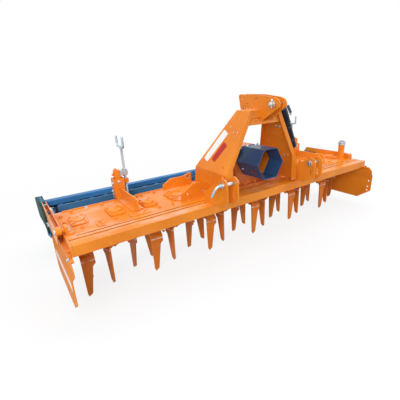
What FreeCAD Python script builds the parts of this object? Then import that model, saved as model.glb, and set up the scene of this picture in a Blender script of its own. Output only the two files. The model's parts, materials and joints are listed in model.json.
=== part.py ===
import FreeCAD, Part
import os
import re

import Sketcher

# Power harrow with twelve upright rotors, a packer roller and a levelling board.
# Millimetres. X runs along the working width, +X to the right seen from the tractor side.
# -Y points to the tractor and +Z up. Pieces are laid out with z = 0 on the ground and y = 0
# on the line of rotor shafts; every finished piece is then moved back by frame_centre_y,
# which puts the origin under the middle of the whole machine.

ROTOR_COUNT = 12
ROTOR_TURNS = (87, 12)
TUBE_CLAMPS = (0.35, 0.8)
UPRIGHT = FreeCAD.Vector(0, 0, 1)

SIZES = {
    # gear trough, lid and front beam
    "frame_half_width": 1492,
    "end_plate_gauge": 12,
    "trough_half_depth": 250,
    "trough_floor_z": 380,
    "trough_corner": 35,
    "rim_width": 20,
    "rim_gauge": 8,
    "lid_gauge": 10,
    "lid_top_z": 518,
    "lid_lap": 10,
    "beam_front_y": -357.5,
    "beam_depth": 82.5,
    "beam_height": 70,
    "beam_wall": 6,
    # rotors
    "rotor_pitch": 250,
    "rotor_gap": 0.3,
    "housing_radius": 62,
    "housing_height": 14,
    "hub_radius": 56,
    "carrier_length": 192,
    "carrier_width": 90,
    "carrier_floor_z": 305,
    "carrier_height": 45,
    "tine_circle_radius": 114,
    "tine_gauge": 15,
    "tine_half_width": 45,
    "tine_inner_reach": 34,
    "tine_shoulder_z": 241,
    "tine_neck_z": 221,
    "tine_neck": 26,
    "tine_tip": 31,
    "tine_tip_rise": 20,
    # bearing caps on the lid
    "cap_width": 102,
    "cap_depth": 160,
    "cap_gauge": 12,
    "cap_dome_radius": 46,
    "cap_dome_height": 11,
    "cap_crown_radius": 34,
    "cap_crown_height": 4,
    # headstock legs
    "leg_gauge": 10,
    "leg_front_y": -350,
    "leg_foot_x": 385,
    "leg_knee_z": 708,
    "leg_knee_rear_y": 85,
    "leg_foot_rear_y": 120,
    "leg_top_x": 155,
    "leg_top_z": 1158,
    "leg_top_rear_y": -195,
    "leg_flange": 42,
    "leg_rear_flange": 38,
    "foot_gauge": 12,
    "foot_front_y": -140,
    "foot_rear_y": 200,
    "foot_outer_x": 700,
    "rear_web_end_x": 652,
    "rear_web_end_z": 568,
    "rear_web_shoulder_x": 577,
    "rear_web_shoulder_z": 613,
    "rear_web_dip_x": 453,
    "rear_web_peak_x": 395,
    "rear_web_peak_z": 632,
    "front_web_end_x": 660,
    "front_web_end_z": 572,
    "front_web_peak_x": 552,
    "front_web_peak_z": 640,
    "front_web_inner_x": 490,
    "front_web_inner_z": 582,
    # top link bracket
    "top_pin_y": -481,
    "top_pin_z": 1200,
    "top_pin_radius": 12.5,
    "top_gap": 54,
    "top_plate_gauge": 12,
    "top_nose_radius": 45,
    "top_rear_y": -80,
    "top_crest_z": 1268,
    "cross_floor_z": 1048,
    "cross_rear_y": -215,
    "cross_front_y": -345,
    "cross_floor_gauge": 28,
    # lower hitch
    "hitch_pin_y": -475,
    "hitch_pin_z": 692,
    "hitch_inner_x": 415,
    "hitch_outer_x": 508,
    "hitch_gauge": 12,
    "hitch_nose_radius": 45,
    "hitch_pin_radius": 14,
    "hitch_floor_z": 540,
    "hitch_chin": 34,
    "hitch_chin_y": -487.5,
    "hitch_rear_y": -235,
    "hitch_slot_width": 18,
    "hitch_slot_length": 54,
    "hitch_slot_drop": 60,
    "pin_fit": 0.5,
    "handle_radius": 9,
    "handle_length": 110,
    # gearbox, drive shaft and guard
    "gearbox_half_width": 140,
    "gearbox_front_y": -150,
    "gearbox_rear_y": 150,
    "gearbox_top_z": 845,
    "gearbox_base_gauge": 16,
    "gearbox_base_half_width": 190,
    "gearbox_base_half_depth": 200,
    "shaft_z": 746,
    "shaft_radius": 17.5,
    "shaft_end_y": -236,
    "shaft_depth": 60,
    "neck_radius": 62,
    "neck_front_y": -158,
    "neck_bore": 22,
    "guard_flat": 118,
    "guard_gauge": 3,
    "guard_front_y": -414,
    "guard_hole_y": -317,
    "guard_hole_z": 679,
    "guard_hole_radius": 20,
    # filler and document tube
    "filler_x": 1403,
    "filler_y": -115,
    "filler_radius": 33,
    "filler_top_z": 676,
    "filler_cap_radius": 38,
    "filler_cap_top_z": 720,
    "tube_radius": 34,
    "tube_top_standoff": 42,
    "tube_low_standoff": 20,
    "tube_low_z": 790,
    "tube_high_z": 1110,
    "tube_cap_length": 70,
    "tube_cap_inset": 20,
    "tube_cap_gauge": 1,
    "tube_clamp_radius": 12,
    "tube_y": -290,
    # guide posts, levelling bars, spindles and board
    "post_left_x": 985,
    "post_right_x": 1115,
    "post_front_y": 270,
    "post_width": 84,
    "post_depth": 72,
    "post_wall": 8,
    "post_top_z": 678,
    "lug_drop": 14,
    "lug_height": 36,
    "bar_width": 44,
    "bar_depth": 44,
    "bar_top_z": 742,
    "bar_floor_z": 330,
    "tab_height": 36,
    "gusset_gauge": 10,
    "gusset_front_y": -118,
    "gusset_chamfer": 30,
    "gusset_top_z": 602,
    "post_base_gauge": 10,
    "spindle_shift": 64,
    "spindle_radius": 11,
    "spindle_tail": 100,
    "spindle_top_z": 914,
    "nut_width": 40,
    "block_drop": 8,
    "block_height": 40,
    "handle_rear_reach": 88,
    "handle_front_reach": 52,
    "handle_top_z": 996,
    "board_y": 356,
    "board_gauge": 8,
    "board_half_length": 1440,
    "board_top_z": 540,
    "board_floor_z": 250,
    "board_step_z": 475,
    "board_step_y": 8,
    # roller frame and roller
    "arm_pivot_y": -150,
    "arm_pivot_z": 540,
    "arm_pin_radius": 15,
    "arm_clearance": 5,
    "pivot_fit": 0.08,
    "bracket_width": 18,
    "bracket_foot_length": 30,
    "arm_width": 34,
    "arm_wall": 6,
    "arm_floor_z": 514,
    "arm_height": 48,
    "arm_boss_radius": 24,
    "arm_skirt_z": 444,
    "arm_rear_y": 450,
    "side_gauge": 12,
    "side_front_y": 250,
    "side_rear_y": 940,
    "side_waist_z": 378,
    "side_top_z": 497,
    "side_heel_high": 30,
    "side_heel_low": 74,
    "roller_y": 740,
    "roller_radius": 205,
    "roller_tube_radius": 140,
    "roller_half_length": 1450,
    "ring_count": 24,
    "ring_pitch": 125,
    "ring_gauge": 12,
    "roller_axle_radius": 25,
    "bearing_plate_gauge": 12,
    "bearing_plate_x": 1490,
    "frame_beam_height": 46,
    "frame_beam_depth": 60,
    "frame_beam_top_z": 489,
    "frame_beam_front_y": 690,
    "frame_beam_wall": 6,
    "scraper_gauge": 10,
    "scraper_clamp_width": 28,
    "scraper_clamp_height": 14,
    "scraper_blade_width": 98,
    # side plates
    "side_plate_gauge": 5,
    "side_plate_x": 1508,
    "side_plate_offset": 16,
    "side_plate_front_y": -442,
    "side_plate_rear_y": 250,
    "side_plate_floor_z": 84,
    "side_plate_front_top_z": 447,
    "side_plate_top_z": 500,
    "side_nose_high_z": 366,
    "side_nose_low_z": 186,
    "side_step_front_y": -100,
    "side_step_rear_y": -20,
    "side_lip_gauge": 10,
    "joggle_low_z": 350,
    "joggle_high_z": 375,
}

REAR_REACH = SIZES["roller_y"] + SIZES["roller_radius"]
FRONT_REACH = SIZES["top_pin_y"] - SIZES["top_nose_radius"]
SIZES["frame_centre_y"] = (REAR_REACH + FRONT_REACH) / 2

doc = FreeCAD.newDocument("power_harrow")
sheet = doc.addObject("Spreadsheet::Sheet", "Sizes")
for row, (alias, value) in enumerate(SIZES.items(), start=1):
    sheet.set(f"A{row}", alias)
    sheet.set(f"B{row}", str(value))
    sheet.setAlias(f"B{row}", alias)
doc.recompute()

ALIAS_WORD = re.compile(r"\b(" + "|".join(SIZES) + r")\b")
NODES = {}


def formula(text):
    """Turn plain alias names into references to the sheet's cells."""
    return ALIAS_WORD.sub(r"Sizes.\1", str(text))


def number(text):
    """Value of a formula at the sheet's present sizes."""
    return float(sheet.evalExpression(formula(text)))


def bind(item, **bindings):
    """Bind properties to formulas; a double underscore in a name stands for a dot."""
    for name, text in bindings.items():
        item.setExpression(name.replace("__", "."), formula(text))
    return item


def place(item, x, y, z):
    return bind(item, Placement__Base__x=x, Placement__Base__y=y, Placement__Base__z=z)


def box(name, x, y, z):
    """Block between the two ends given for each axis."""
    block = doc.addObject("Part::Box", name)
    bind(block, Length=f"({x[1]}) - ({x[0]})", Width=f"({y[1]}) - ({y[0]})")
    bind(block, Height=f"({z[1]}) - ({z[0]})")
    return place(block, x[0], y[0], z[0])


AXIS_TURN = {
    "x": FreeCAD.Rotation(FreeCAD.Vector(0, 1, 0), 90),
    "y": FreeCAD.Rotation(FreeCAD.Vector(1, 0, 0), -90),
    "z": FreeCAD.Rotation(),
}


def rod(name, axis, start, radius, length):
    """Cylinder from its start point along +X, +Y or +Z."""
    cylinder = doc.addObject("Part::Cylinder", name)
    cylinder.Placement.Rotation = AXIS_TURN[axis]
    bind(cylinder, Radius=radius, Height=length)
    return place(cylinder, *start)


def cone(name, start, low_radius, high_radius, height):
    """Upright truncated cone."""
    taper = doc.addObject("Part::Cone", name)
    bind(taper, Radius1=low_radius, Radius2=high_radius, Height=height)
    return place(taper, *start)


def fuse(name, *pieces):
    union = doc.addObject("Part::MultiFuse", name)
    union.Shapes = list(pieces)
    union.Refine = True
    return union


def cut(name, base, *tools):
    difference = doc.addObject("Part::Cut", name)
    difference.Base = base
    difference.Tool = tools[0] if len(tools) == 1 else fuse(name + "_tools", *tools)
    difference.Refine = True
    return difference


def common(name, first, second):
    overlap = doc.addObject("Part::MultiCommon", name)
    overlap.Shapes = [first, second]
    overlap.Refine = True
    return overlap


def mirrored(name, source):
    """The same piece on the other side of the machine's middle plane."""
    twin = doc.addObject("Part::Mirroring", name)
    twin.Source = source
    twin.Normal = FreeCAD.Vector(1, 0, 0)
    return twin


def plate(name, plane, outline, start, gauge, holes=()):
    """Flat plate: a closed outline in the XY, XZ or YZ plane, padded along that plane's
    third axis from start by gauge. Holes are (first, second, radius)."""
    body = doc.addObject("PartDesign::Body", name)
    sketch = body.newObject("Sketcher::SketchObject", name + "_sketch")
    planes = {feature.Role: feature for feature in body.Origin.OriginFeatures}
    sketch.AttachmentSupport = [(planes[plane + "_Plane"], "")]
    sketch.MapMode = "FlatFace"
    offset = f"-(({start}) + ({gauge}))" if plane == "XZ" else start
    sketch.setExpression("AttachmentOffset.Base.z", formula(offset))

    corners = [FreeCAD.Vector(number(a), number(b), 0) for a, b in outline]
    for index, corner in enumerate(corners):
        following = corners[(index + 1) % len(corners)]
        sketch.addGeometry(Part.LineSegment(corner, following), False)
    for index in range(len(corners)):
        following = (index + 1) % len(corners)
        sketch.addConstraint(Sketcher.Constraint("Coincident", index, 2, following, 1))
    for index, point in enumerate(outline):
        pin_point(sketch, index, 1, point)
    for first, second, radius in holes:
        centre = FreeCAD.Vector(number(first), number(second), 0)
        circle = Part.Circle(centre, FreeCAD.Vector(0, 0, 1), number(radius))
        index = sketch.addGeometry(circle, False)
        pin_point(sketch, index, 3, (first, second))
        row = sketch.addConstraint(Sketcher.Constraint("Radius", index, number(radius)))
        sketch.setExpression(f"Constraints[{row}]", formula(radius))

    pad = body.newObject("PartDesign::Pad", name + "_pad")
    pad.Profile = sketch
    pad.setExpression("Length", formula(gauge))
    return body


def pin_point(sketch, index, end, point):
    """Hold one point of a sketch at two formulas."""
    for kind, text in zip(("DistanceX", "DistanceY"), point):
        rule = Sketcher.Constraint(kind, -1, 1, index, end, number(text))
        row = sketch.addConstraint(rule)
        sketch.setExpression(f"Constraints[{row}]", formula(text))


def node(label, *pieces):
    """A finished sub-part: its pieces, moved so that the origin is under the machine."""
    group = doc.addObject("Part::Compound", label)
    group.Links = list(pieces)
    group.Label = label
    group.setExpression("Placement.Base.y", formula("-frame_centre_y"))
    NODES[label] = group
    return group


def pair(label, piece):
    """Left and right nodes of a piece that is drawn on the left."""
    node(label + "_left", piece)
    node(label + "_right", mirrored(label + "_mirror", piece))


# ---------------------------------------------------------------- trough, lid and beam


def rotor_x(index):
    """Place of a rotor shaft along the machine, counted from the left."""
    return f"({index} - {(ROTOR_COUNT - 1) / 2}) * rotor_pitch"


INNER_HALF = "(frame_half_width - end_plate_gauge)"
RIM_TOP = "(lid_top_z - lid_gauge)"
RIM_LOW = f"({RIM_TOP} - rim_gauge)"
BEAM_REAR = "(beam_front_y + beam_depth)"


def gear_trough():
    floor = "trough_floor_z"
    side = "trough_half_depth"
    section = [
        (f"-{side}", f"{floor} + trough_corner"),
        (f"-{side} + trough_corner", floor),
        (f"{side} - trough_corner", floor),
        (side, f"{floor} + trough_corner"),
        (side, RIM_LOW),
        (f"{side} + rim_width", RIM_LOW),
        (f"{side} + rim_width", RIM_TOP),
        (BEAM_REAR, RIM_TOP),
        (BEAM_REAR, RIM_LOW),
        (f"-{side}", RIM_LOW),
    ]
    pan = plate("trough_pan", "YZ", section, f"-{INNER_HALF}", f"2 * {INNER_HALF}")
    housings = []
    for index in range(ROTOR_COUNT):
        start = (rotor_x(index), "0", f"{floor} - housing_height")
        name = f"housing_{index + 1}"
        housings.append(rod(name, "z", start, "housing_radius", "housing_height + 1"))
    node("gear_trough", fuse("trough_with_housings", pan, *housings))


def trough_lid():
    lap = "trough_half_depth + lid_lap"
    depth = (f"-({lap})", lap)
    node("trough_lid", box("lid", (f"-{INNER_HALF}", INNER_HALF), depth, (RIM_TOP, "lid_top_z")))


def front_beam():
    width = (f"-{INNER_HALF}", INNER_HALF)
    depth = ("beam_front_y", BEAM_REAR)
    height = ("lid_top_z - beam_height", "lid_top_z")
    hollow_depth = ("beam_front_y + beam_wall", f"{BEAM_REAR} - beam_wall")
    hollow_height = ("lid_top_z - beam_height + beam_wall", "lid_top_z - beam_wall")
    outer = box("beam_outer", width, depth, height)
    hollow = box("beam_hollow", width, hollow_depth, hollow_height)
    node("front_beam", cut("beam_tube", outer, hollow))


def end_plates():
    lap = "trough_half_depth + rim_width"
    outline = [
        ("beam_front_y", "lid_top_z - beam_height"),
        ("beam_front_y", "lid_top_z"),
        (lap, "lid_top_z"),
        (lap, "trough_floor_z + trough_corner"),
        ("trough_half_depth - trough_corner", "trough_floor_z"),
        ("trough_corner - trough_half_depth", "trough_floor_z"),
        (BEAM_REAR, "trough_floor_z + trough_corner"),
        (BEAM_REAR, "lid_top_z - beam_height"),
    ]
    blank = plate("end_plate", "YZ", outline, "-frame_half_width", "end_plate_gauge")
    pair("end_plate", blank)


def bearing_caps():
    """Flanged, domed caps over the rotor shafts, apart from the middle four, which the
    gearbox covers, and the one under the right guide post."""
    outer = ROTOR_COUNT // 2 - 2
    under_post = ROTOR_COUNT - 2
    caps = []
    for index in [*range(outer), *range(ROTOR_COUNT - outer, ROTOR_COUNT)]:
        if index == under_post:
            continue
        x = rotor_x(index)
        width = (f"{x} - cap_width / 2", f"{x} + cap_width / 2")
        depth = ("-cap_depth / 2", "cap_depth / 2")
        name = f"cap_{index + 1}"
        flange = box(name + "_flange", width, depth, ("lid_top_z", "lid_top_z + cap_gauge"))
        dome_z = "lid_top_z + cap_gauge"
        dome = rod(name + "_dome", "z", (x, "0", dome_z), "cap_dome_radius", "cap_dome_height")
        crown_start = (x, "0", f"{dome_z} + cap_dome_height")
        crown = cone(name + "_crown", crown_start, "cap_dome_radius", "cap_crown_radius",
                     "cap_crown_height")
        caps.append(fuse(name, flange, dome, crown))
    node("bearing_caps", *caps)


# ---------------------------------------------------------------- rotors and tines

HUB_TOP = "(trough_floor_z - housing_height - rotor_gap)"
CARRIER_TOP = "(carrier_floor_z + carrier_height)"
FOOT_LOW = "(carrier_floor_z - tine_gauge)"


def tine_outline(hand):
    """Blade seen square on: a straight trailing edge, a shoulder and a slanted tip.
    The two hands of blade belong to the two senses of rotation."""
    points = [
        ("-tine_half_width", FOOT_LOW),
        ("tine_half_width", FOOT_LOW),
        ("tine_half_width + 2", "tine_shoulder_z"),
        ("tine_neck", "tine_neck_z"),
        ("tine_neck - tine_tip - 1", "tine_tip_rise"),
        ("-tine_tip", "0"),
        ("-tine_tip - 8", "tine_tip_rise - 4"),
    ]
    return [(f"{hand} * ({across})", height) for across, height in points]


def rotor_master(name, hand):
    """The carrier bar lies along X in the master; a tine hangs from each end of it."""
    half_width = "carrier_width / 2"
    inner = "tine_circle_radius - tine_gauge"
    bar = box(name + "_bar", ("-carrier_length / 2", "carrier_length / 2"),
              (f"-{half_width}", half_width), ("carrier_floor_z", CARRIER_TOP))
    hub = rod(name + "_hub", "z", ("0", "0", "carrier_floor_z"), "hub_radius",
              f"{HUB_TOP} - carrier_floor_z")
    blade = plate(name + "_blade", "YZ", tine_outline(hand), inner, "tine_gauge")
    foot = box(name + "_foot", ("tine_inner_reach", "tine_circle_radius"),
               ("-tine_half_width", "tine_half_width"), (FOOT_LOW, "carrier_floor_z"))
    tine = fuse(name + "_tine", blade, foot)
    opposite = doc.addObject("Part::Compound", name + "_opposite")
    opposite.Links = [tine]
    opposite.Placement.Rotation = FreeCAD.Rotation(UPRIGHT, 180)
    return fuse(name, bar, hub, tine, opposite)


def rotors():
    """Neighbours turn opposite ways and stand out of step, so that their tines mesh."""
    masters = (rotor_master("rotor_even", "1"), rotor_master("rotor_odd", "-1"))
    for index in range(ROTOR_COUNT):
        name = f"rotor_{index + 1}"
        copy = doc.addObject("Part::Compound", name + "_turned")
        copy.Links = [masters[index % 2]]
        copy.Placement.Rotation = FreeCAD.Rotation(UPRIGHT, ROTOR_TURNS[index % 2])
        copy.setExpression("Placement.Base.x", formula(rotor_x(index)))
        node(name, copy)


# ---------------------------------------------------------------- headstock

LEG_SLOPE = "((leg_foot_x - leg_top_x) / (leg_top_z - leg_knee_z))"
FOOT_TOP = "(lid_top_z + foot_gauge)"


def leg_x(height):
    """Outer face of the left leg at a height above the knee."""
    return f"(-leg_foot_x + (({height}) - leg_knee_z) * {LEG_SLOPE})"


def headstock_legs():
    """Folded plate: a face that leans inward above the knee, with a flange along its front
    and a narrower one along its rear edge."""
    flange_top = "leg_top_z"
    section = [
        ("-leg_foot_x", FOOT_TOP),
        ("-leg_foot_x", "leg_knee_z"),
        ("-leg_top_x", "leg_top_z"),
        ("-leg_top_x + leg_gauge * 1.12", "leg_top_z"),
        ("-leg_foot_x + leg_gauge", "leg_knee_z - leg_gauge * 0.25"),
        ("-leg_foot_x + leg_gauge", FOOT_TOP),
    ]
    silhouette = [
        ("leg_front_y", FOOT_TOP),
        ("leg_foot_rear_y", FOOT_TOP),
        ("leg_knee_rear_y", "leg_knee_z"),
        ("leg_top_rear_y", "leg_top_z"),
        ("leg_front_y", "leg_top_z"),
    ]
    folded = plate("leg_folded", "XZ", section, "leg_front_y", "leg_foot_rear_y - leg_front_y")
    mask = plate("leg_mask", "YZ", silhouette, "-leg_foot_x - 1", "leg_foot_x")
    face = common("leg_face", folded, mask)
    flange = [
        ("-leg_foot_x", FOOT_TOP),
        ("-leg_foot_x", "leg_knee_z"),
        ("-leg_top_x", flange_top),
        ("-leg_top_x + leg_flange", flange_top),
        (f"{leg_x('leg_knee_z + 40')} + leg_flange", "leg_knee_z + 40"),
        (f"{leg_x('leg_knee_z + 40')} + leg_flange", FOOT_TOP),
    ]
    front = plate("leg_flange", "XZ", flange, "leg_front_y", "leg_gauge")
    thick_section = [
        ("-leg_foot_x", FOOT_TOP),
        ("-leg_foot_x", "leg_knee_z"),
        ("-leg_top_x", flange_top),
        ("-leg_top_x + leg_rear_flange", flange_top),
        ("-leg_foot_x + leg_rear_flange", "leg_knee_z - leg_rear_flange * 0.25"),
        ("-leg_foot_x + leg_rear_flange", FOOT_TOP),
    ]
    strip_outline = [
        ("leg_foot_rear_y - leg_gauge", FOOT_TOP),
        ("leg_foot_rear_y", FOOT_TOP),
        ("leg_knee_rear_y", "leg_knee_z"),
        ("leg_top_rear_y", "leg_top_z"),
        ("leg_top_rear_y - leg_gauge * 1.18", "leg_top_z"),
        ("leg_knee_rear_y - leg_gauge * 1.09", "leg_knee_z"),
    ]
    thick = plate("leg_thick", "XZ", thick_section, "leg_front_y", "leg_foot_rear_y - leg_front_y")
    strip = plate("leg_strip", "YZ", strip_outline, "-leg_foot_x - 1", "leg_foot_x")
    rear = common("leg_rear_flange", thick, strip)
    pair("headstock_leg", fuse("leg", face, front, rear))


def headstock_feet():
    """Channel at the foot of each leg: a floor round the bearing cap and two upright webs."""
    inner = "leg_foot_x - leg_gauge"
    cap_x = "(2.5 * rotor_pitch)"
    floor_outline = [
        (f"-({inner})", "foot_front_y"),
        (f"-{cap_x} - 20", "foot_front_y"),
        ("-foot_outer_x", "foot_front_y + 60"),
        ("-foot_outer_x", "foot_rear_y - 110"),
        (f"-{cap_x} - 20", "foot_rear_y"),
        (f"-({inner})", "foot_rear_y"),
    ]
    slab = plate("foot_slab", "XY", floor_outline, "lid_top_z", "foot_gauge")
    window = box("foot_window", (f"-{cap_x} - cap_width / 2 - 6", f"-{cap_x} + cap_width / 2 + 6"),
                 ("-cap_depth / 2 - 6", "cap_depth / 2 + 6"), ("lid_top_z - 1", f"{FOOT_TOP} + 1"))
    floor_plate = cut("foot_floor", slab, window)
    rear_outline = [
        (f"-({inner})", FOOT_TOP),
        ("-rear_web_end_x", FOOT_TOP),
        ("-rear_web_end_x", "rear_web_end_z"),
        ("-rear_web_shoulder_x", "rear_web_shoulder_z"),
        ("-rear_web_dip_x", "rear_web_shoulder_z"),
        ("-rear_web_peak_x", "rear_web_peak_z"),
        (f"-({inner})", "rear_web_peak_z"),
    ]
    front_outline = [
        ("-leg_foot_x - 1", FOOT_TOP),
        ("-front_web_end_x", FOOT_TOP),
        ("-front_web_end_x", "front_web_end_z"),
        ("-front_web_peak_x", "front_web_peak_z"),
        ("-front_web_inner_x", "front_web_peak_z"),
        ("-leg_foot_x - 1", "front_web_inner_z"),
    ]
    rear = plate("foot_rear_web", "XZ", rear_outline, "foot_rear_y - foot_gauge", "foot_gauge")
    front = plate("foot_front_web", "XZ", front_outline, "foot_front_y", "foot_gauge")
    foot = fuse("foot", floor_plate, rear, front)
    node("headstock_feet", foot, mirrored("foot_mirror", foot))


def top_link_bracket():
    """Two upright plates either side of the top link's ball."""
    floor_z = "cross_floor_z + cross_floor_gauge"
    outline = [
        ("top_rear_y", "top_crest_z - 12"),
        ("top_rear_y - 16", "top_crest_z"),
        ("top_pin_y + 170", "top_crest_z - 4"),
        ("top_pin_y + 12", "top_pin_z + top_nose_radius"),
        ("top_pin_y - 30", "top_pin_z + 30"),
        ("top_pin_y - top_nose_radius", "top_pin_z + 8"),
        ("top_pin_y - top_nose_radius + 2", "top_pin_z - 22"),
        ("top_pin_y + 130", floor_z),
        ("cross_rear_y", floor_z),
        ("top_rear_y - 20", "leg_top_z"),
    ]
    pin_hole = ("top_pin_y", "top_pin_z", "top_pin_radius + pin_fit")
    spare_holes = [
        ("top_rear_y - 30", "top_crest_z - 32", "9"),
        ("top_rear_y - 205", "top_crest_z - 34", "9"),
        ("top_rear_y - 99", "top_crest_z - 72", "7"),
        ("top_rear_y - 58", "top_crest_z - 103", "7"),
    ]
    cheek = plate("top_cheek", "YZ", outline, "-top_gap / 2 - top_plate_gauge",
                  "top_plate_gauge", [pin_hole, *spare_holes])
    node("top_link_bracket", cheek, mirrored("top_cheek_mirror", cheek))


def cross_member():
    """Box between the legs that carries the top link plates."""
    low = "cross_floor_z"
    high = "leg_top_z"

    def outline(margin):
        return [
            (f"{leg_x(low)} + leg_gauge * 1.15", f"{low}"),
            (f"-top_gap / 2 - top_plate_gauge - {margin}", f"{low}"),
            (f"-top_gap / 2 - top_plate_gauge - {margin}", f"{high}"),
            (f"{leg_x(high)} + leg_gauge * 1.15", f"{high}"),
        ]

    depth = "cross_rear_y - cross_front_y - leg_gauge"
    block = plate("cross_block", "XZ", outline("0"), "cross_front_y + leg_gauge", depth)
    middle = box("cross_middle", ("-top_gap / 2 - top_plate_gauge", "top_gap / 2 + top_plate_gauge"),
                 ("cross_front_y + leg_gauge", "cross_rear_y"), (low, f"{low} + cross_floor_gauge"))
    node("cross_member", fuse("cross", block, mirrored("cross_block_mirror", block), middle))


def hitch_plates():
    """Two ears on each side for the tractor's lower link, welded over the front beam and
    tied by a cross web."""
    nose = "hitch_nose_radius"
    outline = [
        (f"hitch_pin_y - {nose}", "hitch_pin_z"),
        (f"hitch_pin_y - {nose}", "hitch_floor_z + hitch_chin"),
        ("hitch_chin_y", "hitch_floor_z"),
        ("beam_front_y", "lid_top_z"),
        ("hitch_rear_y", "lid_top_z"),
        ("hitch_rear_y", "lid_top_z + 70"),
        (f"hitch_pin_y + {nose}", f"hitch_pin_z + {nose} * 0.6"),
        (f"hitch_pin_y + {nose}", "hitch_pin_z"),
    ]
    slot_z = "hitch_pin_z - hitch_slot_drop"
    half_slot = "hitch_slot_width / 2"
    ears = []
    for name, x in (("inner", "hitch_inner_x"), ("outer", "hitch_outer_x")):
        start = f"-{x} - hitch_gauge / 2"
        blank = plate(f"hitch_{name}_blank", "YZ", outline, start, "hitch_gauge")
        top = rod(f"hitch_{name}_top", "x", (start, "hitch_pin_y", "hitch_pin_z"), nose,
                  "hitch_gauge")
        hole = rod(f"hitch_{name}_hole", "x", (f"{start} - 1", "hitch_pin_y", "hitch_pin_z"),
                   "hitch_pin_radius + pin_fit", "hitch_gauge + 2")
        slot = box(f"hitch_{name}_slot", (f"{start} - 1", f"{start} + hitch_gauge + 1"),
                   (f"hitch_pin_y - {half_slot}", f"hitch_pin_y + {half_slot}"),
                   (f"{slot_z} - hitch_slot_length", slot_z))
        ears.append(cut(f"hitch_{name}_ear", fuse(f"hitch_{name}_plate", blank, top), hole, slot))
    web_outline = [
        ("-hitch_outer_x", "lid_top_z"),
        ("-hitch_outer_x", "lid_top_z + 100"),
        ("-hitch_inner_x", "leg_knee_z"),
        ("-hitch_inner_x", "lid_top_z"),
    ]
    web = plate("hitch_web", "XZ", web_outline, "leg_front_y", "leg_gauge")
    left = fuse("hitch_clevis", *ears, web)
    node("lower_hitch_plates", left, mirrored("hitch_clevis_mirror", left))


def pin_with_handle(name, start, radius, length, handle_down):
    """Hitch pin along +X from its outer end, with a bent handle hanging from that end."""
    x, y, z = start
    shank = rod(name + "_shank", "x", start, radius, length)
    grip_start = (f"{x} + handle_radius", y, f"({z}) - {handle_down}")
    grip = rod(name + "_grip", "z", grip_start, "handle_radius", handle_down)
    return fuse(name, shank, grip)


def hitch_pins():
    outer = "-hitch_outer_x - hitch_gauge / 2 - 42"
    inner = "-hitch_inner_x + hitch_gauge / 2 + 24"
    left = pin_with_handle("lower_pin", (outer, "hitch_pin_y", "hitch_pin_z"),
                           "hitch_pin_radius", f"({inner}) - ({outer})", "handle_length")
    node("lower_hitch_pins", left, mirrored("lower_pin_mirror", left))
    side = "top_gap / 2 + top_plate_gauge"
    start = (f"-({side}) - 44", "top_pin_y", "top_pin_z")
    top = pin_with_handle("top_pin", start, "top_pin_radius", f"2 * ({side}) + 94", "handle_length")
    node("top_link_pin", mirrored("top_pin_turned", top))


# ---------------------------------------------------------------- gearbox and drive


def gearbox():
    half = "gearbox_half_width"
    base_z = "lid_top_z + gearbox_base_gauge"
    base = box("gearbox_base", ("-gearbox_base_half_width", "gearbox_base_half_width"),
               ("-gearbox_base_half_depth", "gearbox_base_half_depth"), ("lid_top_z", base_z))
    case = box("gearbox_case", (f"-{half}", half), ("gearbox_front_y", "gearbox_rear_y"),
               (base_z, "gearbox_top_z"))
    neck = rod("gearbox_neck", "y", ("0", "neck_front_y", "shaft_z"), "neck_radius",
               "gearbox_front_y - neck_front_y + 1")
    bore = rod("gearbox_bore", "y", ("0", "neck_front_y - 1", "shaft_z"), "neck_bore",
               "gearbox_front_y + shaft_depth - neck_front_y + 1")
    cover = rod("gearbox_cover", "y", ("0", "gearbox_rear_y - 1", "shaft_z"), "neck_radius + 24", "19")
    node("gearbox", cut("gearbox_housing", fuse("gearbox_solid", base, case, neck, cover), bore))


def drive_shaft():
    """The free end of the input shaft, and the thicker journal that runs in the neck."""
    journal_y = "neck_front_y + 2"
    start = ("0", "shaft_end_y", "shaft_z")
    spline = rod("shaft_spline", "y", start, "shaft_radius", f"{journal_y} + 1 - shaft_end_y")
    collar = rod("shaft_collar", "y", ("0", journal_y, "shaft_z"), "neck_bore - pivot_fit",
                 f"gearbox_front_y + shaft_depth - rotor_gap - ({journal_y})")
    node("drive_shaft", fuse("shaft", spline, collar))


def drive_guard():
    """Open hexagonal sleeve round the drive shaft, with its flats at top and bottom."""

    def hexagon(flat):
        corner = f"({flat} * 1.1547005)"
        half = f"({flat} * 0.5773503)"
        return [
            (f"-{corner}", "shaft_z"),
            (f"-{half}", f"shaft_z - {flat}"),
            (half, f"shaft_z - {flat}"),
            (corner, "shaft_z"),
            (half, f"shaft_z + {flat}"),
            (f"-{half}", f"shaft_z + {flat}"),
        ]

    length = "gearbox_front_y - guard_front_y"
    outer = plate("guard_outer", "XZ", hexagon("guard_flat"), "guard_front_y", length)
    inner = plate("guard_inner", "XZ", hexagon("(guard_flat - guard_gauge)"), "guard_front_y - 1",
                  f"{length} + 2")
    hole = rod("guard_hole", "x", ("-guard_flat * 1.1547005", "guard_hole_y", "guard_hole_z"),
               "guard_hole_radius", "guard_flat * 0.8")
    node("drive_guard", cut("guard", outer, inner, hole))


def oil_filler():
    start = ("filler_x", "filler_y", "lid_top_z")
    neck = rod("filler_neck", "z", start, "filler_radius", "filler_top_z - lid_top_z")
    node("oil_filler", neck)
    cap_start = ("filler_x", "filler_y", "filler_top_z")
    cap = rod("filler_cap_body", "z", cap_start, "filler_cap_radius",
              "filler_cap_top_z - filler_top_z")
    node("filler_cap", cap)


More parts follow.
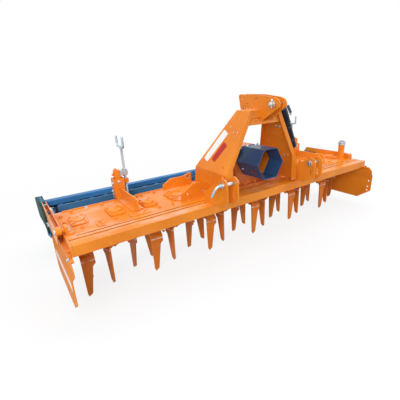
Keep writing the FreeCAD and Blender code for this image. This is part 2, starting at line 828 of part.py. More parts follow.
def document_tube():
    """Round case for papers, held off the outer face of the right leg by two clamps."""
    rise = SIZES["leg_top_z"] - SIZES["leg_knee_z"]
    run = SIZES["leg_foot_x"] - SIZES["leg_top_x"]
    leg_normal = FreeCAD.Vector(rise, 0, run).normalize()

    def axis_point(height, standoff):
        face_x = SIZES["leg_top_x"] + (SIZES["leg_top_z"] - height) * run / rise
        on_face = FreeCAD.Vector(face_x, SIZES["tube_y"], height)
        return on_face + leg_normal * (SIZES["tube_radius"] + standoff)

    start = axis_point(SIZES["tube_high_z"], SIZES["tube_top_standoff"])
    end = axis_point(SIZES["tube_low_z"], SIZES["tube_low_standoff"])
    length = (end - start).Length
    slant = (end - start).normalize()
    tube = Part.makeCylinder(SIZES["tube_radius"], length, start, slant)
    cap_start = start + slant * SIZES["tube_cap_inset"]
    cap_radius = SIZES["tube_radius"] + SIZES["tube_cap_gauge"]
    pieces = [Part.makeCylinder(cap_radius, SIZES["tube_cap_length"], cap_start, slant)]
    for share in TUBE_CLAMPS:
        clamp_start = start + slant * (length * share)
        gap = SIZES["tube_top_standoff"] * (1 - share) + SIZES["tube_low_standoff"] * share
        clamp_length = SIZES["tube_radius"] + gap
        pieces.append(Part.makeCylinder(SIZES["tube_clamp_radius"], clamp_length, clamp_start,
                                        -leg_normal))
    case = doc.addObject("Part::Feature", "document_case")
    case.Shape = tube.multiFuse(pieces).removeSplitter()
    node("document_tube", case)


# ---------------------------------------------------------------- levelling board

POST_REAR = "(post_front_y + post_depth)"
POST_MID = "(post_front_y + post_depth / 2)"


def at_post(name, piece, x):
    """A piece that is drawn round x = 0, moved to its guide post."""
    moved = doc.addObject("Part::Compound", name)
    moved.Links = [piece]
    return place(moved, x, "0", "0")


def guide_posts():
    """Square guide tube with its gusset, its base and the lug that the spindle screws into.
    The lug is on the side towards the machine's middle."""
    half = "post_width / 2"
    shell = box("post_shell", (f"-{half}", half), ("post_front_y", POST_REAR),
                ("lid_top_z - 8", "post_top_z"))
    hollow = box("post_hollow", (f"-{half} + post_wall", f"{half} - post_wall"),
                 ("post_front_y + post_wall", f"{POST_REAR} - post_wall"),
                 ("lid_top_z - 20", "post_top_z + 1"))
    tube = cut("post_tube", shell, hollow)
    gusset_outline = [
        ("post_front_y", "lid_top_z"),
        ("post_front_y", "gusset_top_z + 4"),
        ("gusset_front_y + gusset_chamfer", "gusset_top_z"),
        ("gusset_front_y", "lid_top_z + post_base_gauge"),
        ("gusset_front_y", "lid_top_z"),
    ]
    gusset = plate("post_gusset", "YZ", gusset_outline, "-gusset_gauge / 2", "gusset_gauge")
    base = box("post_base", (f"-{half}", half), ("gusset_front_y + gusset_chamfer", "post_front_y"),
               ("lid_top_z", "lid_top_z + post_base_gauge"))
    lug_top = "post_top_z - lug_drop"
    lug = box("post_lug", (half, "spindle_shift + nut_width / 2"),
              (f"{POST_MID} - nut_width / 2", f"{POST_MID} + nut_width / 2"),
              (f"{lug_top} - lug_height", lug_top))
    thread = rod("post_thread", "z", ("spindle_shift", POST_MID, f"{lug_top} - lug_height - 1"),
                 "spindle_radius + pin_fit", "lug_height + 2")
    post = fuse("post", tube, gusset, base, cut("post_lug_bored", lug, thread))
    node("guide_post_left", at_post("post_left", post, "-post_left_x"))
    node("guide_post_right", at_post("post_right", mirrored("post_mirror", post), "post_right_x"))


def levelling_bars():
    """Square bars that slide in the guide posts, with the tabs that carry the board."""
    half = "bar_width / 2"
    rear = f"{POST_MID} + bar_depth / 2"
    width = (f"-{half}", half)
    bar = box("bar_shank", width, (f"{POST_MID} - bar_depth / 2", rear), ("bar_floor_z", "bar_top_z"))
    tab = box("bar_tab", width, (rear, "board_y - board_step_y"),
              ("bar_floor_z", "bar_floor_z + tab_height"))
    whole = fuse("bar", bar, tab)
    node("levelling_bars", at_post("bar_left", whole, "-post_left_x"),
         at_post("bar_right", whole, "post_right_x"))


def levelling_spindles():
    """Screw spindles beside the bars, hung from a block on each bar, with forked handles."""
    block_top = "bar_top_z - block_drop"
    block = box("spindle_block", ("bar_width / 2", "spindle_shift + nut_width / 2"),
                (f"{POST_MID} - nut_width / 2", f"{POST_MID} + nut_width / 2"),
                (f"{block_top} - block_height", block_top))
    screw_foot = "post_top_z - lug_drop - lug_height - spindle_tail"
    screw = rod("spindle_screw", "z", ("spindle_shift", POST_MID, screw_foot), "spindle_radius",
                f"spindle_top_z - ({screw_foot})")
    yoke_start = ("spindle_shift", f"{POST_MID} - handle_front_reach", "spindle_top_z")
    yoke = rod("spindle_yoke", "y", yoke_start, "handle_radius",
               "handle_front_reach + handle_rear_reach")
    prongs = []
    for side, shift in (("front", "-handle_front_reach"), ("rear", "handle_rear_reach")):
        start = ("spindle_shift", f"{POST_MID} + {shift}", "spindle_top_z")
        prongs.append(rod(f"spindle_{side}_prong", "z", start, "handle_radius",
                          "handle_top_z - spindle_top_z"))
    whole = fuse("spindle", block, screw, yoke, *prongs)
    node("levelling_spindles", at_post("spindle_left", whole, "-post_left_x"),
         at_post("spindle_right", mirrored("spindle_mirror", whole), "post_right_x"))


def levelling_board():
    low_front = "board_y - board_step_y"
    profile = [
        (low_front, "board_floor_z"),
        (f"{low_front} + board_gauge", "board_floor_z"),
        (f"{low_front} + board_gauge", "board_step_z - 24"),
        ("board_y + board_gauge", "board_step_z"),
        ("board_y + board_gauge", "board_top_z"),
        ("board_y", "board_top_z"),
        ("board_y", "board_step_z + 2"),
        (low_front, "board_step_z - 22"),
    ]
    board = plate("board", "YZ", profile, "-board_half_length", "2 * board_half_length")
    node("levelling_board", board)


# ---------------------------------------------------------------- roller and its frame

ARM_INNER = "(frame_half_width + arm_clearance)"
ARM_OUTER = f"({ARM_INNER} + arm_width)"
ARM_TOP = "(arm_floor_z + arm_height)"


def roller_arms():
    """Open channels that lead back from the round pivot bosses to the roller's side frames.
    The outer wall reaches down as a skirt ahead of the side frame."""
    outer = box("arm_outer", (f"-{ARM_OUTER}", f"-{ARM_INNER}"), ("arm_pivot_y", "arm_rear_y"),
                ("arm_floor_z", ARM_TOP))
    hollow = box("arm_hollow", (f"-{ARM_OUTER} + arm_wall", f"-{ARM_INNER} - arm_wall"),
                 ("arm_pivot_y + arm_boss_radius + arm_wall", "arm_rear_y + 1"),
                 ("arm_floor_z + arm_wall", f"{ARM_TOP} + 1"))
    boss = rod("arm_boss", "x", (f"-{ARM_OUTER}", "arm_pivot_y", "arm_pivot_z"), "arm_boss_radius",
               "arm_width")
    skirt_outline = [
        ("arm_pivot_y", "arm_pivot_z"),
        ("side_front_y", "arm_pivot_z"),
        ("side_front_y", "arm_skirt_z"),
        ("arm_pivot_y + arm_boss_radius", "arm_skirt_z"),
        ("arm_pivot_y - arm_boss_radius", "arm_floor_z"),
        ("arm_pivot_y - arm_boss_radius", "arm_pivot_z"),
    ]
    skirt = plate("arm_skirt", "YZ", skirt_outline, f"-{ARM_OUTER}", "arm_wall")
    pin = rod("arm_pin", "x", (f"-{ARM_OUTER}", "arm_pivot_y", "arm_pivot_z"), "arm_pin_radius",
              f"{ARM_OUTER} - {INNER_HALF} + bracket_width")
    pair("roller_arm", fuse("arm", cut("arm_channel", outer, hollow), boss, skirt, pin))


def arm_brackets():
    """Bearing blocks on the lid for the arm pivots."""
    end = f"-{INNER_HALF} + bracket_width"
    block = box("bracket_block", (f"-{INNER_HALF}", end),
                ("arm_pivot_y - 30", "arm_pivot_y + 30"), ("lid_top_z", "arm_pivot_z + 28"))
    bore = rod("bracket_bore", "x", (f"-{INNER_HALF} - 1", "arm_pivot_y", "arm_pivot_z"),
               "arm_pin_radius + pivot_fit", "bracket_width + 2")
    foot = box("bracket_foot", (end, f"{end} + bracket_foot_length"),
               ("arm_pivot_y - 42", "arm_pivot_y"), ("lid_top_z", "lid_top_z + 10"))
    bracket = cut("bracket", fuse("bracket_solid", block, foot), bore)
    node("arm_brackets", bracket, mirrored("bracket_mirror", bracket))


def roller_sides():
    """Side frames: an outer cheek, a top cover and the inner plate with the bearing."""
    top = "side_top_z"
    cheek_outline = [
        ("side_front_y", "side_waist_z"),
        ("side_front_y", "arm_floor_z"),
        ("arm_rear_y", ARM_TOP),
        ("arm_rear_y + 60", top),
        ("roller_y + 120", top),
        ("side_rear_y", f"{top} - side_heel_high"),
        ("side_rear_y", f"{top} - side_heel_low"),
        ("roller_y + 100", "side_waist_z - 55"),
        ("side_front_y + 200", "side_waist_z"),
    ]
    cheek = plate("side_cheek", "YZ", cheek_outline, f"-{ARM_OUTER} - side_gauge", "side_gauge")
    cover = box("side_cover", (f"-{ARM_OUTER}", "-bearing_plate_x"),
                ("roller_y - 110", "roller_y + 120"), (f"{top} - side_gauge", top))
    bearing_outline = [
        ("roller_y - 110", top),
        ("roller_y + 120", top),
        ("roller_y + 120", "roller_radius + 40"),
        ("roller_y + 60", "roller_radius - 60"),
        ("roller_y - 60", "roller_radius - 60"),
        ("roller_y - 110", "roller_radius + 40"),
    ]
    hole = ("roller_y", "roller_radius", "roller_axle_radius + pivot_fit")
    inner = plate("side_bearing", "YZ", bearing_outline,
                  "-bearing_plate_x - bearing_plate_gauge", "bearing_plate_gauge", [hole])
    pair("roller_side_frame", fuse("side_frame", cheek, cover, inner))


def roller_beam():
    half = "bearing_plate_x"
    depth = ("frame_beam_front_y", "frame_beam_front_y + frame_beam_depth")
    height = ("frame_beam_top_z - frame_beam_height", "frame_beam_top_z")
    outer = box("rear_beam_outer", (f"-{half}", half), depth, height)
    hollow = box("rear_beam_hollow", (f"-{half}", half),
                 (f"{depth[0]} + frame_beam_wall", f"{depth[1]} - frame_beam_wall"),
                 (f"{height[0]} + frame_beam_wall", f"{height[1]} - frame_beam_wall"))
    node("roller_beam", cut("rear_beam", outer, hollow))


def scrapers():
    """One scraper in each gap between two rings: an arm hung under the roller beam and a
    wide blade that slopes down to the drum."""
    low = "frame_beam_top_z - frame_beam_height"
    tip_y = "roller_y + roller_tube_radius + 6"
    outline = [
        ("frame_beam_front_y", low),
        ("frame_beam_front_y", f"{low} - 16"),
        ("roller_y + 120", f"{low} - 26"),
        (tip_y, "roller_radius + 20"),
        (tip_y, "roller_radius - 20"),
        (f"{tip_y} + 22", "roller_radius - 20"),
        ("roller_y + 175", f"{low} - 10"),
        ("frame_beam_front_y + frame_beam_depth", low),
    ]
    arm = plate("scraper_arm", "YZ", outline, "-scraper_gauge / 2", "scraper_gauge")
    blade_outline = [
        ("roller_y + 60", f"{low} - 12"),
        ("roller_y + 67", f"{low} - 8"),
        ("roller_y + 171", "roller_radius + 98"),
        ("roller_y + 152", "roller_radius + 36"),
        ("roller_y + 146", "roller_radius + 38"),
        ("roller_y + 164", "roller_radius + 97"),
    ]
    blade = plate("scraper_blade", "YZ", blade_outline, "-scraper_blade_width / 2",
                  "scraper_blade_width")
    clamp = box("scraper_clamp", ("-scraper_clamp_width / 2", "scraper_clamp_width / 2"),
                ("frame_beam_front_y", "frame_beam_front_y + frame_beam_depth"),
                (f"{low} - scraper_clamp_height", low))
    first = fuse("scraper_first", arm, blade, clamp)
    copies = []
    gaps = SIZES["ring_count"] - 1
    for index in range(gaps):
        copy = doc.addObject("Part::Compound", f"scraper_{index + 1}")
        copy.Links = [first]
        place(copy, f"({index} - {(gaps - 1) / 2}) * ring_pitch", "0", "0")
        copies.append(copy)
    node("scrapers", *copies)


def packer_roller():
    """Closed tube with a ring every ring_pitch and a stub axle at each end."""
    start = ("-roller_half_length", "roller_y", "roller_radius")
    drum = rod("roller_drum", "x", start, "roller_tube_radius", "2 * roller_half_length")
    axle_half = "bearing_plate_x + bearing_plate_gauge"
    axle = rod("roller_axle", "x", (f"-({axle_half})", "roller_y", "roller_radius"),
               "roller_axle_radius", f"2 * ({axle_half})")
    rings = []
    count = SIZES["ring_count"]
    for index in range(count):
        x = f"({index} - {(count - 1) / 2}) * ring_pitch - ring_gauge / 2"
        rings.append(rod(f"ring_{index + 1}", "x", (x, "roller_y", "roller_radius"),
                         "roller_radius", "ring_gauge"))
    node("packer_roller", fuse("roller", drum, axle, *rings))


# ---------------------------------------------------------------- side plates


def side_plates():
    """Joggled sheets that keep the soil in at both ends, with a lip along the top that
    closes the gap to the end plates."""
    x = "-side_plate_x"
    out = f"({x} - side_plate_offset)"
    g = "side_plate_gauge"
    section = [
        (x, "side_plate_top_z"),
        (f"{x} - {g}", "side_plate_top_z"),
        (f"{x} - {g}", "joggle_high_z"),
        (f"{out} - {g}", "joggle_low_z"),
        (f"{out} - {g}", "side_plate_floor_z"),
        (out, "side_plate_floor_z"),
        (out, "joggle_low_z - 1"),
        (x, "joggle_high_z - 1"),
    ]
    front = "side_plate_front_y"
    silhouette = [
        (f"{front} + 40", "side_plate_front_top_z"),
        (f"{front} + 6", "side_plate_front_top_z - 37"),
        (front, "side_nose_high_z"),
        (f"{front} + 5", "side_nose_low_z"),
        (f"{front} + 148", "side_plate_floor_z"),
        ("side_plate_rear_y - 30", "side_plate_floor_z"),
        ("side_plate_rear_y", "side_plate_floor_z + 40"),
        ("side_plate_rear_y", "side_plate_top_z"),
        ("side_step_rear_y", "side_plate_top_z"),
        ("side_step_front_y", "side_plate_front_top_z"),
    ]
    holes = [("-406", "293", "8"), ("-399", "228", "8"), ("-397", "187", "8")]
    sheet_body = plate("side_sheet", "XZ", section, front, "side_plate_rear_y - side_plate_front_y")
    mask = plate("side_mask", "YZ", silhouette, f"{x} - 60", "70", holes)
    panel = common("side_deflector", sheet_body, mask)
    lip_outline = [
        (f"{front} + 40", "side_plate_front_top_z"),
        ("side_step_front_y", "side_plate_front_top_z"),
        ("side_step_rear_y", "side_plate_top_z"),
        ("side_plate_rear_y", "side_plate_top_z"),
        ("side_plate_rear_y", "side_plate_top_z - side_lip_gauge"),
        ("side_step_rear_y", "side_plate_top_z - side_lip_gauge"),
        ("side_step_front_y", "side_plate_front_top_z - side_lip_gauge"),
        (f"{front} + 40", "side_plate_front_top_z - side_lip_gauge"),
    ]
    lip = plate("side_lip", "YZ", lip_outline, x, "side_plate_x - frame_half_width")
    pair("side_plate", fuse("side_panel", panel, lip))


# ---------------------------------------------------------------- whole machine

BUILDERS = (
    gear_trough, trough_lid, front_beam, end_plates, bearing_caps, rotors,
    headstock_legs, headstock_feet, top_link_bracket, cross_member, hitch_plates, hitch_pins,
    gearbox, drive_shaft, drive_guard, oil_filler, document_tube,
    guide_posts, levelling_bars, levelling_spindles, levelling_board,
    roller_arms, arm_brackets, roller_sides, roller_beam, scrapers, packer_roller, side_plates,
)
for build in BUILDERS:
    build()
doc.recompute()

for item in doc.Objects:
    if {"Invalid", "Error"} & set(item.State):
        raise RuntimeError(f"{item.Name} did not build: {item.State}")
for label, item in NODES.items():
    if item.Shape.isNull() or not item.Shape.isValid():
        raise RuntimeError(f"{label} has no valid shape")

os.makedirs("parts", exist_ok=True)
for label, item in NODES.items():
    item.Shape.exportStep(f"parts/{label}.step")
print(len(NODES), "nodes written")
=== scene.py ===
"""Power harrow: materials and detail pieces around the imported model."""
import json
import math

import bmesh
import bpy
from mathutils import Matrix, Vector


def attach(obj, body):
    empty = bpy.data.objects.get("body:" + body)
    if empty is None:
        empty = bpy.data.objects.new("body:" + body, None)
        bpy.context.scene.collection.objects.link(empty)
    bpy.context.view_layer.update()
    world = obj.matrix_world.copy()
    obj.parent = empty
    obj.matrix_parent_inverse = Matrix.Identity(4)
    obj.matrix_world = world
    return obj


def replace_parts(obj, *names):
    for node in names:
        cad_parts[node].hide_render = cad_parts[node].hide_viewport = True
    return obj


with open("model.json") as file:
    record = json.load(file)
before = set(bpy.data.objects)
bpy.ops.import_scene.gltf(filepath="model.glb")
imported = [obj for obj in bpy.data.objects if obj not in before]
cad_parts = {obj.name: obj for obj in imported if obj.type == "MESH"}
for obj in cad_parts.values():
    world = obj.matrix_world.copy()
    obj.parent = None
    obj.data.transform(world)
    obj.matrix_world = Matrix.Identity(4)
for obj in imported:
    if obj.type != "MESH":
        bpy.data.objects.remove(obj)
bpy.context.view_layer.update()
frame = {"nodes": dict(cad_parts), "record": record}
record = frame["record"]
NODES = frame["nodes"]
BODY_OF = {node: body for body, nodes in record["behaviour"]["bodies"].items() for node in nodes}
SLOT_OF = {part["node"]: part["material_slot"] for part in record["subparts"]}
JOINT_AT = {joint["name"]: joint["pos_m"] for joint in record["behaviour"]["joints"] if "pos_m" in joint}
MOUNT_AT = {mount["name"]: mount["pos_m"] for mount in record["mounts"]}

# Shapes are drawn with y = 0 on the line of rotor shafts; finish_piece moves them to the row frame.
ROTOR_LINE = -JOINT_AT["rotor_1_spin"][1]
ROTOR_X = [JOINT_AT[f"rotor_{i + 1}_spin"][0] for i in range(12)]
SHAFT = JOINT_AT["drive_shaft_spin"][2]


def drawn_place(position):
    """y and z of a joint or mount, as shapes are drawn."""
    return position[1] + ROTOR_LINE, position[2]


ROLLER_Y, ROLLER_Z = drawn_place(JOINT_AT["packer_roller_spin"])
PIVOT_Y, PIVOT_Z = drawn_place(JOINT_AT["roller_frame_tilt"])
LINK_Y, LINK_Z = drawn_place(MOUNT_AT["lower_link_left"])
TOP_Y, TOP_Z = drawn_place(MOUNT_AT["top_link"])

# Heights of the trough's lid and of the headstock's foot plates.
LID, FOOT = 0.518, 0.530
# Heights where the tines bend and where they start, and how far out their outer faces are at least.
BEND, TINE_TOP, TINE_REACH = 0.268, 0.305, 0.1185
# Angles of the rotors at rest in degrees, odd and even ones.
ROTOR_TURNS = (87, 12)
# Rotors whose bearing caps show on the lid.
CAPS = (-1.375, -1.125, -0.875, -0.625, 0.625, 0.875, 1.375)
# Place of each guide post with the way to the machine's middle, and the line of the spindles.
POSTS = ((-0.985, 1), (1.115, -1))
SPINDLE_Y = 0.306
# Distance from the shaft's line to the guard's flats, and the height of the gearbox's side covers.
GUARD_FLAT, COVER_Z = 0.118, 0.715
FILLER_X, FILLER_Y = 1.403, -0.115
# Distance between the packer's rings, and the places between them.
RING_PITCH = 0.125
BETWEEN_RINGS = [(i - 11) * RING_PITCH for i in range(23)]
SIDES = (-1, 1)
DOWN, UP = Vector((0, 0, -1)), Vector((0, 0, 1))
LEFT, RIGHT = Vector((-1, 0, 0)), Vector((1, 0, 0))
FRONT, REAR = Vector((0, -1, 0)), Vector((0, 1, 0))

# ---- materials


def new_material(name):
    material = bpy.data.materials.new(name)
    material.use_nodes = True
    return material, material.node_tree, material.node_tree.nodes["Principled BSDF"]


def set_inputs(node, values):
    for name, value in values.items():
        node.inputs[name].default_value = value


def add_node(tree, kind, **values):
    """A new node with some of its one-word inputs set."""
    node = tree.nodes.new("ShaderNode" + kind)
    set_inputs(node, values)
    return node


def feed(tree, socket, value):
    """Give a socket a number or a colour, or link an output to it."""
    if isinstance(value, tuple):
        socket.default_value = (*value, 1)
    elif isinstance(value, float):
        socket.default_value = value
    else:
        tree.links.new(value, socket)


def noise(tree, scale, detail, stretch=(1, 1, 1)):
    place = add_node(tree, "TexCoord")
    mapping = add_node(tree, "Mapping", Scale=stretch)
    texture = add_node(tree, "TexNoise", Scale=scale, Detail=detail)
    tree.links.new(place.outputs["Object"], mapping.inputs["Vector"])
    tree.links.new(mapping.outputs["Vector"], texture.inputs["Vector"])
    return texture.outputs["Fac"]


def ramp(tree, value, stops):
    item = add_node(tree, "ValToRGB")
    elements = item.color_ramp.elements
    while len(elements) < len(stops):
        elements.new(0.5)
    for element, (position, colour) in zip(elements, stops):
        element.position = position
        element.color = (*colour, 1)
    tree.links.new(value, item.inputs["Fac"])
    return item.outputs["Color"]


def clouds(tree, scale, detail, stops, stretch=(1, 1, 1)):
    """Noise run through a colour ramp."""
    return ramp(tree, noise(tree, scale, detail, stretch), stops)


def grey(value):
    return (value, value, value)


def blend_colours(tree, factor, first, second, kind="MIX"):
    mix = add_node(tree, "Mix")
    mix.data_type = "RGBA"
    mix.blend_type = kind
    for place, value in ((0, factor), (6, first), (7, second)):
        feed(tree, mix.inputs[place], value)
    return mix.outputs[2]


def calculate(tree, kind, *values):
    """One Math node; each value is an output or a number."""
    item = add_node(tree, "Math")
    item.operation = kind
    for socket, value in zip(item.inputs, values):
        feed(tree, socket, value)
    return item.outputs[0]


def fit_range(tree, value, limits, smooth=False):
    """Map a value from the first two limits to the last two."""
    item = add_node(tree, "MapRange")
    item.interpolation_type = "SMOOTHSTEP" if smooth else "LINEAR"
    for socket, limit in zip(item.inputs[1:5], limits):
        socket.default_value = limit
    tree.links.new(value, item.inputs[0])
    return item.outputs[0]


def add_bump(tree, shader, height, strength, distance):
    bump = add_node(tree, "Bump", Strength=strength, Distance=distance)
    tree.links.new(height, bump.inputs["Height"])
    tree.links.new(bump.outputs["Normal"], shader.inputs["Normal"])


def facing_up(tree):
    """1 on faces that look up, 0 on walls, from the piece's own normal."""
    place = add_node(tree, "TexCoord")
    split = add_node(tree, "SeparateXYZ")
    tree.links.new(place.outputs["Normal"], split.inputs[0])
    return ramp(tree, split.outputs["Z"], [(0.55, grey(0)), (0.95, grey(1))])


def painted_bend_highlight(tree, low, high):
    """A broken pale line between two heights: a painted highlight along the bend."""
    place = add_node(tree, "TexCoord")
    split = add_node(tree, "SeparateXYZ")
    tree.links.new(place.outputs["Object"], split.inputs[0])
    middle, half = (low + high) / 2, (high - low) / 2
    off = calculate(tree, "SUBTRACT", split.outputs["Z"], middle)
    size = calculate(tree, "ABSOLUTE", off)
    near = fit_range(tree, size, (half, half * 0.4, 0.0, 1.0))
    broken = clouds(tree, 38, 4, [(0.36, grey(0.12)), (0.52, grey(0.9))])
    return blend_colours(tree, 1.0, near, broken, "MULTIPLY")


def paint(name, base, shade, dust_and_top_shading, rough=0.26, coat=0.3, bloom=0.5, line=None, specular=0.22):
    """Sprayed gloss paint: slow drift in tone, dust specks, orange peel, and streaky patches of painted sky
    sheen where it lies flat (painted shade where that colour is darker than the base); line adds a painted
    highlight between two heights.
    """
    material, tree, shader = new_material(name)
    drift = clouds(tree, 3.1, 5, [(0.35, shade), (0.62, base)])
    dust = clouds(tree, 23, 8, [(0.55, grey(0)), (0.85, grey(0.16))])
    colour = blend_colours(tree, dust, drift, dust_and_top_shading)
    # bloom is the strength of the painted top colour on faces that look up: a painted reflection of the sky,
    # and painted shade where the colour is darker than the base.
    patch = clouds(tree, 3.4, 4, [(0.50, grey(0)), (0.68, grey(bloom))], (1.0, 1.9, 1.0))
    flat = blend_colours(tree, 1.0, patch, facing_up(tree), "MULTIPLY")
    colour = blend_colours(tree, flat, colour, dust_and_top_shading)
    # A painted highlight along a bend, between the heights given in line.
    if line:
        colour = blend_colours(tree, painted_bend_highlight(tree, *line), colour, (0.93, 0.66, 0.54))
    tree.links.new(colour, shader.inputs["Base Color"])
    gloss = clouds(tree, 3.6, 6, [(0.3, grey(rough)), (0.7, grey(rough + 0.30))])
    tree.links.new(gloss, shader.inputs["Roughness"])
    set_inputs(shader, {"Coat Weight": coat, "Coat Roughness": 0.12, "Specular IOR Level": specular})
    add_bump(tree, shader, noise(tree, 420, 2), 0.05, 0.0006)
    return material


def cast_paint(name, base, shade):
    """Satin paint over a sand-cast skin."""
    material, tree, shader = new_material(name)
    tone = clouds(tree, 9, 8, [(0.3, shade), (0.65, base)])
    tree.links.new(tone, shader.inputs["Base Color"])
    set_inputs(shader, {"Roughness": 0.46, "Coat Weight": 0.35, "Coat Roughness": 0.2})
    add_bump(tree, shader, noise(tree, 160, 6), 0.35, 0.0015)
    return material


def zinc(name, base, blue):
    """Bright zinc plate with its faint blue and straw bloom."""
    material, tree, shader = new_material(name)
    bloom = clouds(tree, 17, 5, [(0.3, blue), (0.55, base), (0.8, (0.80, 0.77, 0.66))])
    tree.links.new(bloom, shader.inputs["Base Color"])
    gloss = clouds(tree, 60, 6, [(0.3, grey(0.27)), (0.8, grey(0.47))])
    tree.links.new(gloss, shader.inputs["Roughness"])
    set_inputs(shader, {"Metallic": 1.0})
    add_bump(tree, shader, noise(tree, 300, 3), 0.08, 0.0004)
    return material


def plastic(name, base, shade, rough):
    """Moulded plastic or rubber with a little wear in its gloss."""
    material, tree, shader = new_material(name)
    tone = clouds(tree, 8, 6, [(0.3, shade), (0.7, base)])
    tree.links.new(tone, shader.inputs["Base Color"])
    gloss = clouds(tree, 35, 6, [(0.3, grey(rough)), (0.8, grey(rough + 0.15))])
    tree.links.new(gloss, shader.inputs["Roughness"])
    set_inputs(shader, {"Specular IOR Level": 0.2})
    add_bump(tree, shader, noise(tree, 160, 2), 0.05, 0.0003)
    return material


ORANGE = paint("orange_gloss", (0.87, 0.275, 0.020), (0.77, 0.215, 0.012), (0.93, 0.50, 0.33),
               0.16, 0.12, bloom=0.7)
PLATE = paint("orange_side_plate", (0.87, 0.265, 0.020), (0.79, 0.215, 0.012), (0.93, 0.50, 0.33),
              0.34, 0.0, bloom=0.3, specular=0.08)
# Tines: a darker copy of the orange, painted shade for their place under the trough, with a painted highlight
# at the bend.
SHADED_TINE_ORANGE = paint("orange_tines", (0.76, 0.205, 0.014), (0.66, 0.155, 0.009), (0.90, 0.45, 0.30),
             0.24, 0.1, line=(0.262, 0.2745))
# Near-black orange: painted shade, laid in strips on the lid's creases.
PAINTED_SHADE_ORANGE = paint("orange_recess", (0.27, 0.065, 0.008), (0.20, 0.045, 0.006), (0.36, 0.13, 0.05),
               0.4, 0.0, bloom=0.1, specular=0.1)
BLUE = paint("blue_gloss", (0.058, 0.21, 0.42), (0.045, 0.17, 0.35), (0.22, 0.42, 0.62),
             0.16, 0.4, bloom=0.3)
# The beam: a lighter copy of the blue for its lit front, with a darker top colour, painted shade on its upward
# face.
BEAM_BLUE = paint("blue_gloss_beam", (0.052, 0.22, 0.50), (0.044, 0.19, 0.44), (0.030, 0.135, 0.32),
                  0.34, 0.05, bloom=0.95)
GUARD_BLUE = paint("blue_gloss_deep", (0.028, 0.085, 0.20), (0.020, 0.065, 0.16), (0.20, 0.34, 0.46),
                   bloom=0.3)
# Roller side frames: a dark greenish copy of the blue, painted shade and reflection on their outer faces.
SHADED_SIDE_FRAME_BLUE = paint("blue_gloss_weathered", (0.020, 0.064, 0.060), (0.014, 0.048, 0.045), (0.08, 0.17, 0.17),
             0.40, 0.0, bloom=0.3, specular=0.04)
# A near-black copy of the blue: painted shade.
PAINTED_SHADE_BLUE = paint("blue_gloss_recess", (0.010, 0.026, 0.060), (0.007, 0.018, 0.042), (0.05, 0.12, 0.2),
                   bloom=0.1)
CAST = cast_paint("orange_cast", (0.72, 0.17, 0.014), (0.55, 0.115, 0.008))
ZINC = zinc("zinc_bright", (0.52, 0.60, 0.66), (0.40, 0.52, 0.64))
BLACK = plastic("black_moulding", (0.005, 0.010, 0.026), (0.003, 0.006, 0.017), 0.14)
STRAP = plastic("black_strap", (0.035, 0.045, 0.06), (0.022, 0.03, 0.04), 0.3)
GRIP = plastic("slate_grip", (0.060, 0.100, 0.150), (0.045, 0.080, 0.120), 0.4)
WHITE_FILM = paint("white_film", (0.93, 0.92, 0.91), (0.89, 0.88, 0.87), (0.95, 0.94, 0.93),
                   0.3, 0.2, bloom=0.2)
RED_FILM = paint("red_film", (0.52, 0.022, 0.016), (0.44, 0.016, 0.012), (0.60, 0.10, 0.08),
                 0.3, 0.2, bloom=0.2)
FINISH = {"orange_paint": ORANGE, "blue_paint": BLUE, "gearbox_paint": CAST, "zinc_plate": ZINC,
          "black_plastic": BLACK}

# ---- shapes


def prism(bm, outline, axis, start, end):
    """A flat outline in the two other axes, pulled along one axis."""
    order = {"x": (2, 0, 1), "y": (0, 2, 1), "z": (0, 1, 2)}[axis]
    rings = []
    for depth in (start, end):
        places = [(first, second, depth) for first, second in outline]
        rings.append([bm.verts.new([values[k] for k in order]) for values in places])
    bridge(bm, *rings)
    bm.faces.new(rings[0])
    bm.faces.new(rings[1])


def add_object(name, data):
    item = bpy.data.objects.new(name, data)
    bpy.context.scene.collection.objects.link(item)
    return item


def to_mesh(bm, name):
    """Write a bmesh out as a mesh with its faces looking outward, and free it."""
    bmesh.ops.recalc_face_normals(bm, faces=bm.faces)
    mesh = bpy.data.meshes.new(name)
    bm.to_mesh(mesh)
    bm.free()
    return mesh


def bridge(bm, first, second):
    """Close the wall between two rings with the same number of corners."""
    count = len(first)
    for k in range(count):
        bm.faces.new((first[k], first[(k + 1) % count], second[(k + 1) % count], second[k]))


def block(bm, xs, ys, zs):
    prism(bm, [(xs[0], ys[0]), (xs[1], ys[0]), (xs[1], ys[1]), (xs[0], ys[1])], "z", *zs)


def facing(place, direction, turn=0.0):
    direction = Vector(direction).normalized()
    spin = direction.to_track_quat("Z", "Y").to_matrix().to_4x4()
    return Matrix.Translation(Vector(place)) @ spin @ Matrix.Rotation(turn, 4, "Z")


def lathe(bm, place, direction, profile, sides=24, turn=0.0, capped=True):
    """Turned shape: a profile of (radius, height) spun round a direction."""
    at = facing(place, direction, turn)
    rings = []
    for radius, height in profile:
        if radius < 1e-6:
            rings.append([bm.verts.new(at @ Vector((0, 0, height)))])
            continue
        rings.append([bm.verts.new(at @ Vector((x, y, height))) for x, y in circle(radius, sides)])
    for low, high in zip(rings, rings[1:]):
        for i in range(sides):
            j = (i + 1) % sides
            corners = []
            for vert in (low[i % len(low)], low[j % len(low)], high[j % len(high)], high[i % len(high)]):
                if vert not in corners:
                    corners.append(vert)
            if len(corners) > 2:
                bm.faces.new(corners)
    for end in (rings[0], rings[-1]):
        if capped and len(end) > 1:
            bm.faces.new(end)


def bolt(bm, place, direction, flats=0.017, washer=True, stud=False):
    """Hex head with its chamfer and washer; a nut has the stud's end standing out of it."""
    radius = flats * 0.577
    base = 0.0
    if washer:
        lathe(bm, place, direction, [(flats * 0.88, 0), (flats * 0.88, 0.0022), (flats * 0.8, 0.003)], 20)
        base = 0.003
    high = flats * 0.56
    lathe(bm, place, direction, [(radius, base), (radius, base + high * 0.8), (radius * 0.86, base + high)],
          6, turn=0.3)
    if stud:
        lathe(bm, place, direction, [(radius * 0.52, base), (radius * 0.52, base + high + 0.005),
                                     (radius * 0.4, base + high + 0.0065)], 12)


